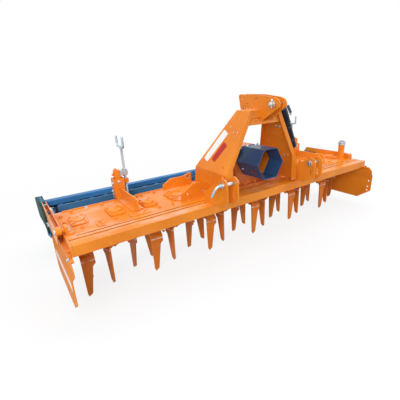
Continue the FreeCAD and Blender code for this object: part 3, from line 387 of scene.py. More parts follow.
def sweep(bm, points, radius, sides, closed=False, swell=None):
    """Round bar along a line of points."""
    points = [Vector(p) for p in points]
    count = len(points)
    normal = None
    rings = []
    for i, point in enumerate(points):
        before = points[i - 1] if i or closed else point
        after = points[(i + 1) % count] if i + 1 < count or closed else point
        along = (after - before).normalized()
        if normal is None:
            normal = along.orthogonal().normalized()
        normal = (normal - along * normal.dot(along)).normalized()
        side = along.cross(normal)
        size = radius * (swell[i % len(swell)] if swell else 1)
        rings.append([bm.verts.new(point + size * (a * normal + b * side)) for a, b in circle(1, sides)])
    pairs = list(zip(rings, rings[1:]))
    if closed:
        pairs.append((rings[-1], rings[0]))
    for low, high in pairs:
        bridge(bm, low, high)
    if not closed:
        bm.faces.new(rings[0])
        bm.faces.new(rings[-1])


def rounded_path(points, radius, steps=5):
    """A line of points with its inner corners rounded."""
    points = [Vector(p) for p in points]
    path = [points[0]]
    for before, corner, after in zip(points, points[1:], points[2:]):
        reach = min(radius, (before - corner).length * 0.45, (after - corner).length * 0.45)
        start = corner + (before - corner).normalized() * reach
        end = corner + (after - corner).normalized() * reach
        for i in range(steps + 1):
            t = i / steps
            path.append(start * (1 - t) ** 2 + corner * (2 * t * (1 - t)) + end * t ** 2)
    path.append(points[-1])
    return path


def toothed(teeth, steps, middle, start=0.0):
    """An outline that repeats (share of a tooth, radius) steps round a circle."""
    outline = []
    for i in range(teeth):
        for step, radius in steps:
            turn = math.tau * (i + step) / teeth + start
            outline.append((middle[0] + radius * math.cos(turn), middle[1] + radius * math.sin(turn)))
    return outline


def circle(radius, sides, middle=(0, 0), turn=0.0):
    """Points round a circle; turn is a share of one step."""
    return toothed(sides, ((turn, radius),), middle)


def ring(bm, centre, direction, radius, wire):
    at = facing(centre, direction)
    sweep(bm, [at @ Vector((x, y, 0)) for x, y in circle(radius, 24)], wire, 8, closed=True)


def weld(bm, start, end, radius):
    """Weld bead with its ripples."""
    start, end = Vector(start), Vector(end)
    steps = max(4, int((end - start).length / 0.006))
    sweep(bm, [start.lerp(end, i / steps) for i in range(steps + 1)], radius, 6, swell=(1.12, 0.88))


def film(bm, corners, radius):
    """Thin blank panel with rounded corners on a flat face that looks left."""
    outline = rounded_path([corners[-1], *corners, corners[0]], radius, 4)[1:-1]
    normal = (corners[1] - corners[0]).cross(corners[2] - corners[0]).normalized()
    if normal.x > 0:
        normal = -normal
    low = [bm.verts.new(p - normal * 0.0005) for p in outline]
    high = [bm.verts.new(p + normal * 0.0008) for p in outline]
    bridge(bm, low, high)
    bm.faces.new(low)
    bm.faces.new(high)


# ---- pieces


def finish_piece(name, bm, body="frame", slot="orange_paint", material=None, bevel=0.0, corner=35,
                 smooth=40, drawn=True):
    """Turn a bmesh into a piece that rides on a body; bevel rounds every sharp edge."""
    if drawn:
        bmesh.ops.translate(bm, verts=bm.verts, vec=(0, -ROTOR_LINE, 0))
    mesh = to_mesh(bm, name)
    piece = add_object(name, mesh)
    mesh.materials.append(material or FINISH[slot])
    mesh.polygons.foreach_set("use_smooth", [True] * len(mesh.polygons))
    mesh.set_sharp_from_angle(angle=math.radians(smooth))
    if bevel:
        rounding = piece.modifiers.new("rounding", "BEVEL")
        rounding.width = bevel
        rounding.segments = 2
        rounding.limit_method = "ANGLE"
        rounding.angle_limit = math.radians(corner)
        rounding.use_clamp_overlap = True
        rounding.harden_normals = True
    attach(piece, body)
    return piece


def drill(bm, holes):
    """Cut round holes, each a (place, direction, radius, depth), through a closed mesh."""
    mesh = bpy.data.meshes.new("drilled")
    bm.to_mesh(mesh)
    bm.free()
    body = add_object("drilled", mesh)
    tools = bmesh.new()
    for place, direction, radius, depth in holes:
        start = Vector(place) - Vector(direction) * depth / 2
        lathe(tools, start, direction, [(radius, 0), (radius, depth)], 20)
    bmesh.ops.translate(tools, verts=tools.verts, vec=(0, -ROTOR_LINE, 0))
    tool_mesh = to_mesh(tools, "drill_tools")
    tool = add_object("drill_tools", tool_mesh)
    cutting = body.modifiers.new("drill", "BOOLEAN")
    cutting.operation = "DIFFERENCE"
    cutting.solver = "EXACT"
    cutting.object = tool
    bpy.context.view_layer.update()
    done = bpy.data.meshes.new_from_object(body.evaluated_get(bpy.context.evaluated_depsgraph_get()))
    result = bmesh.new()
    result.from_mesh(done)
    bpy.data.objects.remove(body)
    bpy.data.objects.remove(tool)
    for spent in (mesh, tool_mesh, done):
        bpy.data.meshes.remove(spent)
    return result


def round_bends(bm, centre):
    """Lean the top of each tine towards the rotor's axis and round the bend that this leaves."""
    def outermost(vert, height):
        reach = math.hypot(vert.co.x - centre, vert.co.y + ROTOR_LINE)
        return abs(vert.co.z - height) < 0.0006 and reach > TINE_REACH
    bmesh.ops.bisect_plane(bm, geom=[*bm.verts, *bm.edges, *bm.faces], dist=1e-6,
                           plane_co=(0, 0, BEND), plane_no=(0, 0, 1))
    axis = Vector((centre, -ROTOR_LINE, 0))
    top = [v for v in bm.verts if outermost(v, TINE_TOP)]
    tines = {}
    for vert in top:
        key = next((k for k in tines if (tines[k][0].co - vert.co).length < 0.12), vert)
        tines.setdefault(key, []).append(vert)
    for members in tines.values():
        middle = sum((v.co for v in members), Vector()) / len(members) - axis
        inward = -Vector((middle.x, middle.y, 0)).normalized() * 0.016
        for vert in members:
            vert.co += inward
    bends = [edge for edge in bm.edges
             if all(outermost(v, BEND) for v in edge.verts) and edge.calc_length() > 0.05]
    bmesh.ops.bevel(bm, geom=bends, offset=0.006, segments=4, profile=0.5, affect="EDGES")


def soften(node, bevel, holes=(), material=None, rotor_x=None):
    """A copy of a CAD node's mesh with rounded edges takes the node's place."""
    bm = bmesh.new()
    bm.from_mesh(NODES[node].data)
    bmesh.ops.remove_doubles(bm, verts=bm.verts, dist=1e-5)
    bmesh.ops.dissolve_limit(bm, angle_limit=math.radians(1), verts=bm.verts, edges=bm.edges)
    if rotor_x is not None:
        round_bends(bm, rotor_x)
    if holes:
        bm = drill(bm, holes)
    piece = finish_piece(node + "_finished", bm, BODY_OF[node], SLOT_OF[node], material, bevel=bevel,
                         drawn=False)
    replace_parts(piece, node)


def leg_holes(side):
    holes = [((side * x, y, z), RIGHT, 0.007, 0.08)
             for x, y, z in ((0.234, -0.237, 1.004), (0.234, -0.286, 1.004), (0.364, -0.272, 0.749),
                             (0.215, -0.184, 1.04), (0.376, 0.03, 0.65))]
    return holes + [((side * 0.190, -0.345, 0.985), REAR, 0.008, 0.06)]


def foot_holes():
    holes = []
    for side in SIDES:
        holes += [((side * 0.412, 0.194, 0.600), REAR, 0.012, 0.05),
                  ((side * 0.461, -0.134, 0.562), REAR, 0.017, 0.05),
                  ((side * 0.602, -0.134, 0.566), REAR, 0.010, 0.05)]
    return holes


BEVELS = {
    "gearbox": 0.012, "front_beam": 0.006, "roller_beam": 0.005, "headstock_leg_left": 0.004,
    "headstock_leg_right": 0.004, "cross_member": 0.004, "guide_post_left": 0.004, "guide_post_right": 0.004,
    "levelling_bars": 0.004, "headstock_feet": 0.003, "oil_filler": 0.003, "bearing_caps": 0.003,
    "lower_hitch_plates": 0.003, "top_link_bracket": 0.003, "side_plate_left": 0.0015,
    "side_plate_right": 0.0015, "trough_lid": 0.0015, "drive_guard": 0.0012,
}
OWN_PAINT = {
    "drive_guard": GUARD_BLUE, "roller_beam": BEAM_BLUE, "roller_side_frame_left": SHADED_SIDE_FRAME_BLUE,
    "roller_side_frame_right": SHADED_SIDE_FRAME_BLUE, "side_plate_left": PLATE, "side_plate_right": PLATE,
}
REDONE = ("document_tube", "lower_hitch_pins", "top_link_pin", "drive_shaft", "levelling_spindles",
          "packer_roller", "filler_cap")
DRILLED = {"headstock_leg_left": leg_holes(-1), "headstock_leg_right": leg_holes(1),
           "headstock_feet": foot_holes()}
for node in NODES:
    if node in REDONE:
        continue
    if node.startswith("rotor_"):
        soften(node, 0.003, material=SHADED_TINE_ORANGE, rotor_x=ROTOR_X[int(node.split("_")[1]) - 1])
    else:
        soften(node, BEVELS.get(node, 0.002), holes=DRILLED.get(node, ()), material=OWN_PAINT.get(node))

# ---- lid, trough and beam


def lid_bolts():
    heads = bmesh.new()
    for x in (1.376, 1.161, 0.844, 0.732):
        for side in SIDES:
            if side > 0 and x > 1.3:
                continue
            for y in (-0.134, 0.206):
                bolt(heads, (side * x, y, LID), UP)
    for x, y in ((-0.938, -0.128), (-0.618, -0.181), (0.618, -0.181), (0.90, -0.134), (1.25, 0.206),
                 (0.30, -0.17), (-0.30, -0.17), (0.30, 0.21), (-0.30, 0.21), (-1.455, 0.02),
                 (-1.455, 0.15), (1.455, 0.02), (1.455, 0.15), (-0.88, 0.206), (0.90, 0.206)):
        bolt(heads, (x, y, LID), UP)
    for x, y in ((-1.266, -0.130), (-1.262, -0.178), (-0.965, -0.149), (-1.035, -0.149),
                 (1.09, -0.149), (1.165, -0.149)):
        bolt(heads, (x, y, LID + 0.006), UP, 0.015)
    finish_piece("lid_bolts", heads)


def lid_ribs():
    """The small plates beside and in front of the posts, and the ribs pressed along the lid."""
    trim = bmesh.new()
    for xs, ys in (((-1.290, -1.240), (-0.193, -0.114)), ((-1.070, -0.926), (-0.175, -0.122)),
                   ((1.056, 1.200), (-0.175, -0.122))):
        block(trim, xs, ys, (LID, LID + 0.006))
    for xs in ((-1.428, -0.202), (0.202, 1.428)):
        block(trim, xs, (-0.226, -0.210), (LID - 0.001, LID + 0.004))
    block(trim, (0.670, 1.330), (-0.198, -0.186), (LID - 0.001, LID + 0.004))
    for xs in ((-1.43, -1.04), (-0.88, -0.21), (0.21, 1.06), (1.17, 1.43)):
        block(trim, xs, (0.245, 0.2585), (LID - 0.001, LID + 0.006))
    finish_piece("lid_ribs", trim, bevel=0.002)


def lid_grooves():
    """Painted shade: dark strips beside the ribs and between the lid and the beam."""
    shade_strips = bmesh.new()
    for xs in ((-1.478, -0.532), (-0.388, 0.388), (0.532, 1.478)):
        block(shade_strips, xs, (-0.2745, -0.2605), (LID - 0.013, LID - 0.010))
    for xs in ((-1.428, -0.202), (-0.190, 0.190), (0.202, 1.428)):
        block(shade_strips, xs, (-0.2315, -0.2265), (LID - 0.001, LID + 0.0006))
    block(shade_strips, (0.670, 1.330), (-0.2035, -0.1985), (LID - 0.001, LID + 0.0006))
    finish_piece("lid_grooves", shade_strips, material=PAINTED_SHADE_ORANGE)


def lid_plated_bolts():
    plated = bmesh.new()
    for x in (-1.268, -0.46, 0.46, 1.32):
        bolt(plated, (x, 0.228, LID), UP)
    for side in SIDES:
        bolt(plated, (side * 1.452, -0.104, LID), UP, 0.014)
    finish_piece("lid_plated_bolts", plated, "frame", "zinc_plate")


def weld_beads():
    welds = bmesh.new()
    for side in SIDES:
        for x in (0.409, 0.421, 0.502, 0.514):
            weld(welds, (side * x, -0.350, LID + 0.001), (side * x, -0.240, LID + 0.001), 0.0035)
        weld(welds, (side * 1.48, -0.180, LID + 0.002), (side * 1.462, -0.180, LID + 0.002), 0.004)
        weld(welds, (side * 0.386, -0.128, FOOT), (side * 0.386, 0.112, FOOT), 0.0045)
        weld(welds, (side * 0.386, -0.141, 0.535), (side * 0.386, -0.141, 0.582), 0.004)
        weld(welds, (side * 0.386, -0.141, LID), (side * 0.640, -0.141, LID), 0.0035)
    for x, inward in POSTS:
        for dx in (-0.005, 0.005):
            weld(welds, (x + dx, -0.112, LID + 0.011), (x + dx, 0.266, LID + 0.011), 0.004)
        weld(welds, (x - 0.042, 0.268, LID + 0.012), (x + 0.042, 0.268, LID + 0.012), 0.004)
        weld(welds, (x - 0.005, 0.269, LID + 0.02), (x - 0.005, 0.269, 0.604), 0.0035)
        weld(welds, (x + inward * 0.043, 0.288, 0.665), (x + inward * 0.043, 0.324, 0.665), 0.0035)
    for x in (-0.0395, 0.0395):
        weld(welds, (x, -0.330, 1.158), (x, -0.222, 1.158), 0.004)
    finish_piece("weld_beads", welds)


def cap_bolts():
    """Four bolts and a closing plug on each bearing cap that shows on the lid."""
    heads = bmesh.new()
    plugs = bmesh.new()
    for x in CAPS:
        for dx in (-0.037, 0.037):
            for dy in (-0.064, 0.064):
                bolt(heads, (x + dx, dy, LID + 0.012), UP, 0.015)
        lathe(plugs, (x, 0, LID + 0.0265), UP, [(0.024, 0), (0.024, 0.003), (0.020, 0.0045), (0.0, 0.005)])
        bolt(plugs, (x, 0, LID + 0.030), UP, 0.012, washer=False)
    finish_piece("cap_bolts", heads)
    finish_piece("cap_plugs", plugs)


def trough_bolts():
    """Bolts under the trough's rim and in its end plates, and the seal round each rotor."""
    heads = bmesh.new()
    seals = bmesh.new()
    for x in ROTOR_X:
        for dy in (-0.235, 0.235):
            bolt(heads, (x, dy, 0.3800), DOWN, 0.013)
        lathe(seals, (x, 0, 0.366), DOWN, [(0.060, -0.002), (0.060, 0.0001), (0.0575, 0.0002)], 32)
    for side in SIDES:
        for y in (-0.20, -0.07, 0.07, 0.20):
            bolt(heads, (side * 1.480, y, 0.485), LEFT * side, 0.012, washer=False)
        for y, z in ((-0.28, 0.46), (0.20, 0.43)):
            bolt(heads, (side * 1.492, y, z), RIGHT * side, 0.012)
    finish_piece("trough_bolts", heads)
    finish_piece("rotor_seals", seals)


# ---- rotors


def tine_bolts():
    """Bolts that hold the two tines of each carrier bar; neighbours stand at different angles."""
    for i, x in enumerate(ROTOR_X):
        bm = bmesh.new()
        for end in SIDES:
            for reach in (0.052, 0.086):
                for across in (-0.024, 0.024):
                    bolt(bm, (end * reach, across, 0.2895), DOWN, 0.019)
                    if reach > 0.06:
                        bolt(bm, (end * reach, across, 0.3505), UP, washer=False, stud=True)
        spin = Matrix.Rotation(math.radians(ROTOR_TURNS[i % 2]), 4, "Z")
        bmesh.ops.transform(bm, matrix=Matrix.Translation((x, 0, 0)) @ spin, verts=bm.verts)
        finish_piece(f"tine_bolts_{i + 1}", bm, f"rotor_{i + 1}", "orange_paint")


# ---- headstock


def headstock_bolts():
    heads = bmesh.new()
    painted = bmesh.new()
    slope = Vector((0.45, 0, 0.23)).normalized()
    for side in SIDES:
        inner = Vector((-side * slope.x, 0, -slope.z))
        for x, y, z in ((0.2225, -0.256, 1.002), (0.359, -0.230, 0.735)):
            bolt(heads, (side * x, y, z), inner, 0.015)
        for z in (1.085, 1.125):
            bolt(painted, (side * 0.088, -0.335, z), FRONT)
        bolt(painted, (side * 0.12, -0.275, 1.158), UP)
        bolt(painted, (side * 0.07, -0.250, 1.158), UP, 0.015)
        for x, y in ((0.692, -0.05), (0.648, 0.10), (0.44, 0.15), (0.44, -0.09), (0.692, 0.02)):
            bolt(painted, (side * x, y, FOOT), UP, 0.016)
    finish_piece("headstock_plated_bolts", heads, "frame", "zinc_plate")
    finish_piece("headstock_bolts", painted)


def pin_bosses():
    """Turned collars round the link pins on both sides of the ears and cheeks."""
    bosses = bmesh.new()
    for side in SIDES:
        lathe(bosses, (side * 0.0385, TOP_Y, TOP_Z), RIGHT * side,
              [(0.0135, 0), (0.0135, 0.0045), (0.024, 0.0045), (0.026, 0.003), (0.026, 0)], 32)
    for side in SIDES:
        for x, direction in ((0.5145, RIGHT), (0.4085, LEFT)):
            lathe(bosses, (side * x, LINK_Y, LINK_Z), direction * side,
                  [(0.015, -0.001), (0.015, 0.003), (0.025, 0.003), (0.0265, 0.0015), (0.0265, -0.001)], 32)
    finish_piece("pin_bosses", bosses)


def headstock_lip():
    lip = bmesh.new()
    block(lip, (-0.142, 0.142), (-0.3445, -0.3345), (1.100, 1.1565))
    finish_piece("cross_member_lip", lip, bevel=0.003)


def blank_films():
    """Blank panels where the photograph shows decals: two on the left leg, one on the left side plate."""
    lift = Vector((-0.0012, 0, 0.0006))
    for name, corners, radius, material in (
            ("leg_panel_white", ((-0.229, -0.133, 1.0134), (-0.243, -0.196, 0.9860),
                                 (-0.357, -0.055, 0.7628), (-0.346, 0.002, 0.7843)), 0.012, WHITE_FILM),
            ("leg_panel_red", ((-0.273, -0.179, 0.9273), (-0.284, -0.232, 0.9058),
                               (-0.351, -0.149, 0.7747), (-0.342, -0.100, 0.7923)), 0.008, RED_FILM)):
        panel = bmesh.new()
        film(panel, [Vector(c) + lift for c in corners], radius)
        finish_piece(name, panel, material=material)
    stripe = bmesh.new()
    film(stripe, [Vector((-1.5292, y, z)) for y, z in ((0.165, 0.246), (0.165, 0.300), (-0.372, 0.300),
                                                       (-0.372, 0.246))], 0.008)
    finish_piece("side_stripe_white", stripe, material=WHITE_FILM)


def pin_handle(bm, points, bend):
    """A round bar bent along some points, with a rounded end."""
    grip = rounded_path(points, bend, 6)
    sweep(bm, grip, 0.0088, 16)
    lathe(bm, grip[-1], grip[-1] - grip[-2], [(0.0088, 0), (0.007, 0.003), (0.0, 0.0045)], 16)


def lower_pins():
    """Lower link pins: shank, bent handle, washer, and a linchpin with its ring."""
    pins = bmesh.new()
    for side in SIDES:
        def at(x, y=LINK_Y, z=LINK_Z):
            return Vector((side * x, y, z))
        sweep(pins, rounded_path([at(0.382), at(0.385), at(0.545)], 0.01), 0.0139, 24)
        lathe(pins, at(0.385), LEFT * side, [(0.0139, 0), (0.0125, 0.004), (0.008, 0.006)])
        pin_handle(pins, [at(0.530), at(0.560, -0.472, 0.690), at(0.576, -0.462, 0.664),
                          at(0.592, -0.451, 0.622)], 0.016)
        lathe(pins, at(0.5178), RIGHT * side,
              [(0.0142, 0), (0.025, 0), (0.025, 0.004), (0.0142, 0.004)], 28)
        lathe(pins, at(0.397, z=0.667), UP,
              [(0.004, 0), (0.0045, 0.004), (0.0045, 0.047), (0.003, 0.05)], 12)
        ring(pins, at(0.392), RIGHT, 0.0235, 0.0022)
    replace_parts(finish_piece("lower_hitch_pins_bent", pins, "frame", "zinc_plate"), "lower_hitch_pins")


def top_pin():
    """Top link pin: shank, bent handle, washer, and a linchpin with its ring."""
    pin = bmesh.new()

    def at(x, z=TOP_Z):
        return Vector((x, TOP_Y, z))
    sweep(pin, [at(-0.088), at(-0.05), at(0.0), at(0.076)], 0.0124, 24)
    lathe(pin, at(-0.088), LEFT, [(0.0124, 0), (0.010, 0.004), (0.0, 0.006)])
    pin_handle(pin, [at(0.070), at(0.088, 1.190), at(0.130, 1.128), at(0.134, 1.112)], 0.025)
    lathe(pin, at(0.0435), RIGHT, [(0.0128, 0), (0.023, 0), (0.023, 0.004), (0.0128, 0.004)], 28)
    lathe(pin, at(-0.070, 1.172), UP, [(0.004, 0), (0.0045, 0.003), (0.0045, 0.052), (0.0065, 0.053),
                                       (0.0065, 0.060), (0.005, 0.062)], 12)
    ring(pin, at(-0.066), RIGHT, 0.022, 0.0022)
    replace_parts(finish_piece("top_link_pin_bent", pin, "frame", "zinc_plate"), "top_link_pin")


def pin_sleeves():
    """Plastic grips on the handles of the top pin and of the right lower pin."""
    sleeves = bmesh.new()
    for points in (((0.0925, TOP_Y, 1.1835), (0.111, TOP_Y, 1.156), (0.1290, TOP_Y, 1.1295)),
                   ((0.578, -0.4607, 0.659), (0.585, -0.456, 0.641), (0.5915, -0.4515, 0.6235))):
        sweep(sleeves, points, 0.0104, 16)
    finish_piece("pin_sleeves", sleeves, "frame", "black_plastic", GRIP)


# ---- gearbox, guard and drive


def gearbox_bolts():
    heads = bmesh.new()
    for across, up in circle(1, 8, turn=0.5):
        bolt(heads, (0.086 * across, 0.1685, SHAFT + 0.074 * up), REAR, 0.013, washer=False)
    for x in (-0.165, -0.055, 0.055, 0.165):
        for y in (-0.176, 0.176):
            bolt(heads, (x, y, 0.534), UP, 0.018, stud=True)
    for y in (-0.09, 0.0, 0.09):
        for side in SIDES:
            bolt(heads, (side * 0.167, y, 0.534), UP, 0.018, stud=True)
    finish_piece("gearbox_bolts", heads, "frame", "gearbox_paint")


def gearbox_ribs():
    """Raised cover plates and ribs of the casting."""
    cast = bmesh.new()
    block(cast, (-0.110, 0.110), (-0.095, 0.120), (0.843, 0.8475))
    for side in SIDES:
        lathe(cast, (side * 0.139, 0.0, COVER_Z), RIGHT * side,
              [(0.088, -0.002), (0.088, 0.007), (0.080, 0.010), (0.045, 0.010), (0.040, 0.016), (0.0, 0.017)],
              40)
        for y in (-0.118, 0.118):
            prism(cast, [(side * 0.138, 0.534), (side * 0.182, 0.534), (side * 0.146, 0.690),
                         (side * 0.138, 0.700)], "y", y - 0.006, y + 0.006)
    for x in (-0.100, 0.100):
        prism(cast, [(0.148, 0.534), (0.192, 0.534), (0.160, 0.640), (0.148, 0.650)], "x",
              x - 0.006, x + 0.006)
    finish_piece("gearbox_ribs", cast, "frame", "gearbox_paint", bevel=0.003)


def gearbox_cover_bolts():
    caps = bmesh.new()
    for side in SIDES:
        for y, z in circle(0.070, 6, (0, COVER_Z)):
            bolt(caps, (side * 0.146, y, z), RIGHT * side, 0.012, washer=False)
    for x in (-0.095, 0.095):
        for y in (-0.080, 0.105):
            bolt(caps, (x, y, 0.846), UP, 0.011, washer=False)
    finish_piece("gearbox_cover_bolts", caps, "frame", "gearbox_paint")


def hexagon(grow):
    """Outline of the drive guard, a little larger or smaller."""
    flat = GUARD_FLAT + grow
    corner, half = flat * 1.1547, flat * 0.57735
    return [(-corner, SHAFT), (-half, SHAFT - flat), (half, SHAFT - flat),
            (corner, SHAFT), (half, SHAFT + flat), (-half, SHAFT + flat)]


def guard_rims():
    """Rolled edges at the guard's mouth and at its back."""
    rim = bmesh.new()
    for y, radius, grow in ((-0.4125, 0.0028, -0.001), (-0.170, 0.0022, 0.001)):
        corners = [(x, y, z) for x, z in hexagon(grow)]
        path = rounded_path([corners[-1], *corners, corners[0]], 0.010, 3)[1:-1]
        sweep(rim, path, radius, 8, closed=True)
    finish_piece("guard_rims", rim, "frame", "blue_paint", GUARD_BLUE)


def gearbox_front():
    """The gearbox's front plate, and an orange sleeve inside the guard: a painted orange reflection on the
    guard's inner faces.
    """
    back = bmesh.new()
    lathe(back, (0, -0.184, SHAFT), REAR,
          [(0.056, 0.008), (0.056, 0), (0.127, 0), (0.127, 0.008), (0.0561, 0.008)], 6, capped=False)
    finish_piece("gearbox_front_plate", back, "frame", "gearbox_paint")
    # An orange sleeve inside the guard: painted reflection of orange parts in the guard's mouth.
    collar = bmesh.new()
    outer, inner = hexagon(-0.0035), hexagon(-0.0065)
    loops = [[collar.verts.new((x, y, z)) for x, z in shape]
             for y, shape in ((-0.262, outer), (-0.262, inner), (-0.176, inner), (-0.176, outer))]
    for first, second in zip(loops, loops[1:] + loops[:1]):
        bridge(collar, first, second)
    finish_piece("gearbox_collar", collar, "frame", "gearbox_paint", ORANGE)


def guard_screws():
    screws = bmesh.new()
    for x in (-0.045, 0.045):
        bolt(screws, (x, -0.190, SHAFT + GUARD_FLAT), UP, 0.013)
        bolt(screws, (x, -0.190, SHAFT - GUARD_FLAT), DOWN, 0.013)
    for side in SIDES:
        away = Vector((side * 0.866, 0, -0.5))
        bolt(screws, Vector((0, -0.20, SHAFT)) + away * GUARD_FLAT, away, 0.013)
        lathe(screws, (side * 0.105, -0.152, 0.860), REAR, [(0.008, 0), (0.008, 0.006), (0.005, 0.008)], 6)
    finish_piece("guard_screws", screws, "frame", "zinc_plate")


def splined_shaft():
    """Input shaft with six splines, a groove, its chamfered end and the journal behind."""
    shaft = bmesh.new()
    outline = toothed(6, ((-0.30, 0.0174), (-0.10, 0.0174), (0.10, 0.0174), (0.30, 0.0174), (0.36, 0.0148),
                          (0.50, 0.0148), (0.64, 0.0148)), (0, SHAFT))
    prism(shaft, outline, "y", -0.232, -0.214)
    prism(shaft, outline, "y", -0.207, -0.156)
    lathe(shaft, (0, -0.236, SHAFT), REAR,
          [(0.011, 0), (0.0145, 0.003), (0.0147, 0.030), (0.0147, 0.082)], 32)
    lathe(shaft, (0, -0.156, SHAFT), REAR,
          [(0.0147, 0), (0.0219, 0.0015), (0.0219, 0.0655), (0.0147, 0.0655)], 40)
    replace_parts(finish_piece("drive_shaft_splined", shaft, "drive_shaft", "zinc_plate", bevel=0.0006),
                "drive_shaft")
    seal = bmesh.new()
    lathe(seal, (0, -0.158, SHAFT), FRONT,
          [(0.0235, -0.001), (0.0235, 0.0014), (0.050, 0.0014), (0.052, -0.001)], 40, capped=False)
    finish_piece("shaft_seal", seal, "frame", "black_plastic")


# ---- oil filler and document tube


def oil_filler():
    """Collars of the filler neck and its cap with a knurled rim and a black top."""
    def spin(bm, height, profile, sides=40):
        lathe(bm, (FILLER_X, FILLER_Y, height), UP, profile, sides)
    base = bmesh.new()
    spin(base, LID, [(0.044, 0), (0.044, 0.006), (0.036, 0.010), (0.033, 0.010)])
    spin(base, 0.655, [(0.033, 0), (0.0355, 0.002), (0.0355, 0.010), (0.033, 0.012)])
    finish_piece("filler_collars", base)
    cap = bmesh.new()
    knurl = ((0.0, 0.0378), (0.35, 0.0378), (0.5, 0.0355), (0.85, 0.0355))
    prism(cap, toothed(28, knurl, (FILLER_X, FILLER_Y)), "z", 0.680, 0.708)
    spin(cap, 0.676, [(0.0379, 0), (0.0379, 0.005), (0.036, 0.006)])
    spin(cap, 0.706, [(0.036, 0), (0.0365, 0.003), (0.032, 0.007), (0.0, 0.008)])
    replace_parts(finish_piece("filler_cap_knurled", cap, "frame", "zinc_plate"), "filler_cap")
    top = bmesh.new()
    spin(top, 0.712, [(0.026, 0), (0.026, 0.0035), (0.022, 0.0055), (0.008, 0.006), (0.008, 0.008),
                      (0.0, 0.008)], 32)
    finish_piece("filler_cap_top", top, "frame", "black_plastic")


def document_tube():
    """Document tube: case with a ribbed cap, a strap ring and two clamp bands on studs."""
    rise, run = 0.45, 0.23
    out = Vector((rise, 0, run)).normalized()

    def axis_point(height, standoff):
        face = 0.155 + (1.158 - height) * run / rise
        return Vector((face, -0.290, height)) + out * (0.034 + standoff)
    top, end = axis_point(1.110, 0.042), axis_point(0.790, 0.020)
    along = (end - top).normalized()
    length = (end - top).length
    case = bmesh.new()
    lathe(case, top, along, [(0.026, 0), (0.032, 0.001), (0.034, 0.004), (0.034, 0.018), (0.035, 0.020),
                             (0.035, 0.118), (0.0335, 0.121), (0.0335, length - 0.004), (0.030, length)], 48)
    across = along.orthogonal().normalized()
    for a, b in circle(0.0348, 20):
        spot = top + along * 0.030 + across * a + along.cross(across) * b
        sweep(case, [spot, spot + along * 0.046], 0.0010, 5)
    finish_piece("document_tube_case", case, "frame", "black_plastic", bevel=0.0008)
    bands = bmesh.new()
    lathe(bands, top + along * 0.122, along, [(0.033, 0), (0.0368, 0.001), (0.0368, 0.007), (0.033, 0.008)],
          40)
    for share, gap in ((0.45, 0.0343), (0.8, 0.0244)):
        centre = top + along * (length * share)
        lathe(bands, centre - along * 0.010, along,
              [(0.033, 0), (0.0352, 0.001), (0.0352, 0.019), (0.033, 0.020)], 40)
        lathe(bands, centre - out * 0.020, -out, [(0.012, 0), (0.012, 0.014 + gap)])
    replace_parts(finish_piece("document_tube_clamps", bands, "frame", "black_plastic", STRAP), "document_tube")


# ---- levelling board


def spindle(bm, post, inward):
    """Threaded spindle with its collar, forked handle, nut block and two lock nuts."""
    x = post + inward * 0.064
    thread = []
    z, step = 0.530, 0.0035
    while z < 0.905:
        thread += [(0.0108, z), (0.0088, z + step)]
        z += 2 * step
    lathe(bm, (x, SPINDLE_Y, 0), UP, [(0.008, 0.528), *thread, (0.0105, 0.908), (0.0105, 0.922)], 14)
    lathe(bm, (x, SPINDLE_Y, 0.902), UP, [(0.016, 0), (0.016, 0.018), (0.014, 0.020)], 6)
    fork = [(x, y, z) for y, z in ((0.254, 0.996), (0.254, 0.914), (0.394, 0.914), (0.394, 0.996))]
    sweep(bm, rounded_path(fork, 0.020, 6), 0.0089, 16)
    block(bm, sorted((post + inward * 0.0222, x + inward * 0.020)), (0.286, 0.326), (0.694, 0.734))
    for z, direction in ((0.734, UP), (0.694, DOWN)):
        lathe(bm, (x, SPINDLE_Y, z), direction, [(0.017, 0), (0.017, 0.010), (0.015, 0.012)], 6)


def board_bars():
    """The spindles and the bolts of the sliding bars."""
    spindles = bmesh.new()
    bars = bmesh.new()
    for post, inward in POSTS:
        spindle(spindles, post, inward)
        bolt(bars, (post - 0.008, SPINDLE_Y, 0.742), UP)
        bolt(bars, (post - inward * 0.022, 0.318, 0.705), LEFT * inward)
        for dx, z in ((-0.010, 0.342), (0.010, 0.356)):
            bolt(bars, (post + dx, 0.356, z), REAR, 0.014)
    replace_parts(finish_piece("levelling_spindles_threaded", spindles, "levelling_board", "zinc_plate",
                             bevel=0.0008, corner=60), "levelling_spindles")
    finish_piece("levelling_bolts", bars, "levelling_board", "orange_paint")


def board_clips():
    """Clips with screws along the board, left out where the bars stand."""
    clips, screws = bmesh.new(), bmesh.new()
    for x in BETWEEN_RINGS:
        if abs(abs(x) - 1.05) < 0.085:
            continue
        block(clips, (x - 0.013, x + 0.013), (0.3655, 0.3695), (0.498, 0.5395))
        bolt(screws, (x, 0.3695, 0.512), REAR, 0.011, washer=False)
    finish_piece("levelling_clip_screws", screws, "levelling_board", "blue_paint")
    finish_piece("levelling_board_clips", clips, "levelling_board", "blue_paint", bevel=0.0012)


def post_bolts():
    bolts = bmesh.new()
    for post, inward in POSTS:
        bolt(bolts, (post - inward * 0.042, 0.290, 0.640), LEFT * inward)
        bolt(bolts, (post - inward * 0.042, 0.322, 0.570), LEFT * inward, 0.015)
        ring(bolts, (post - inward * 0.046, 0.318, 0.545), RIGHT, 0.013, 0.0018)
        bolt(bolts, (post, 0.270, 0.650), FRONT, 0.015)
    finish_piece("guide_post_bolts", bolts, "frame", "zinc_plate")


# ---- roller


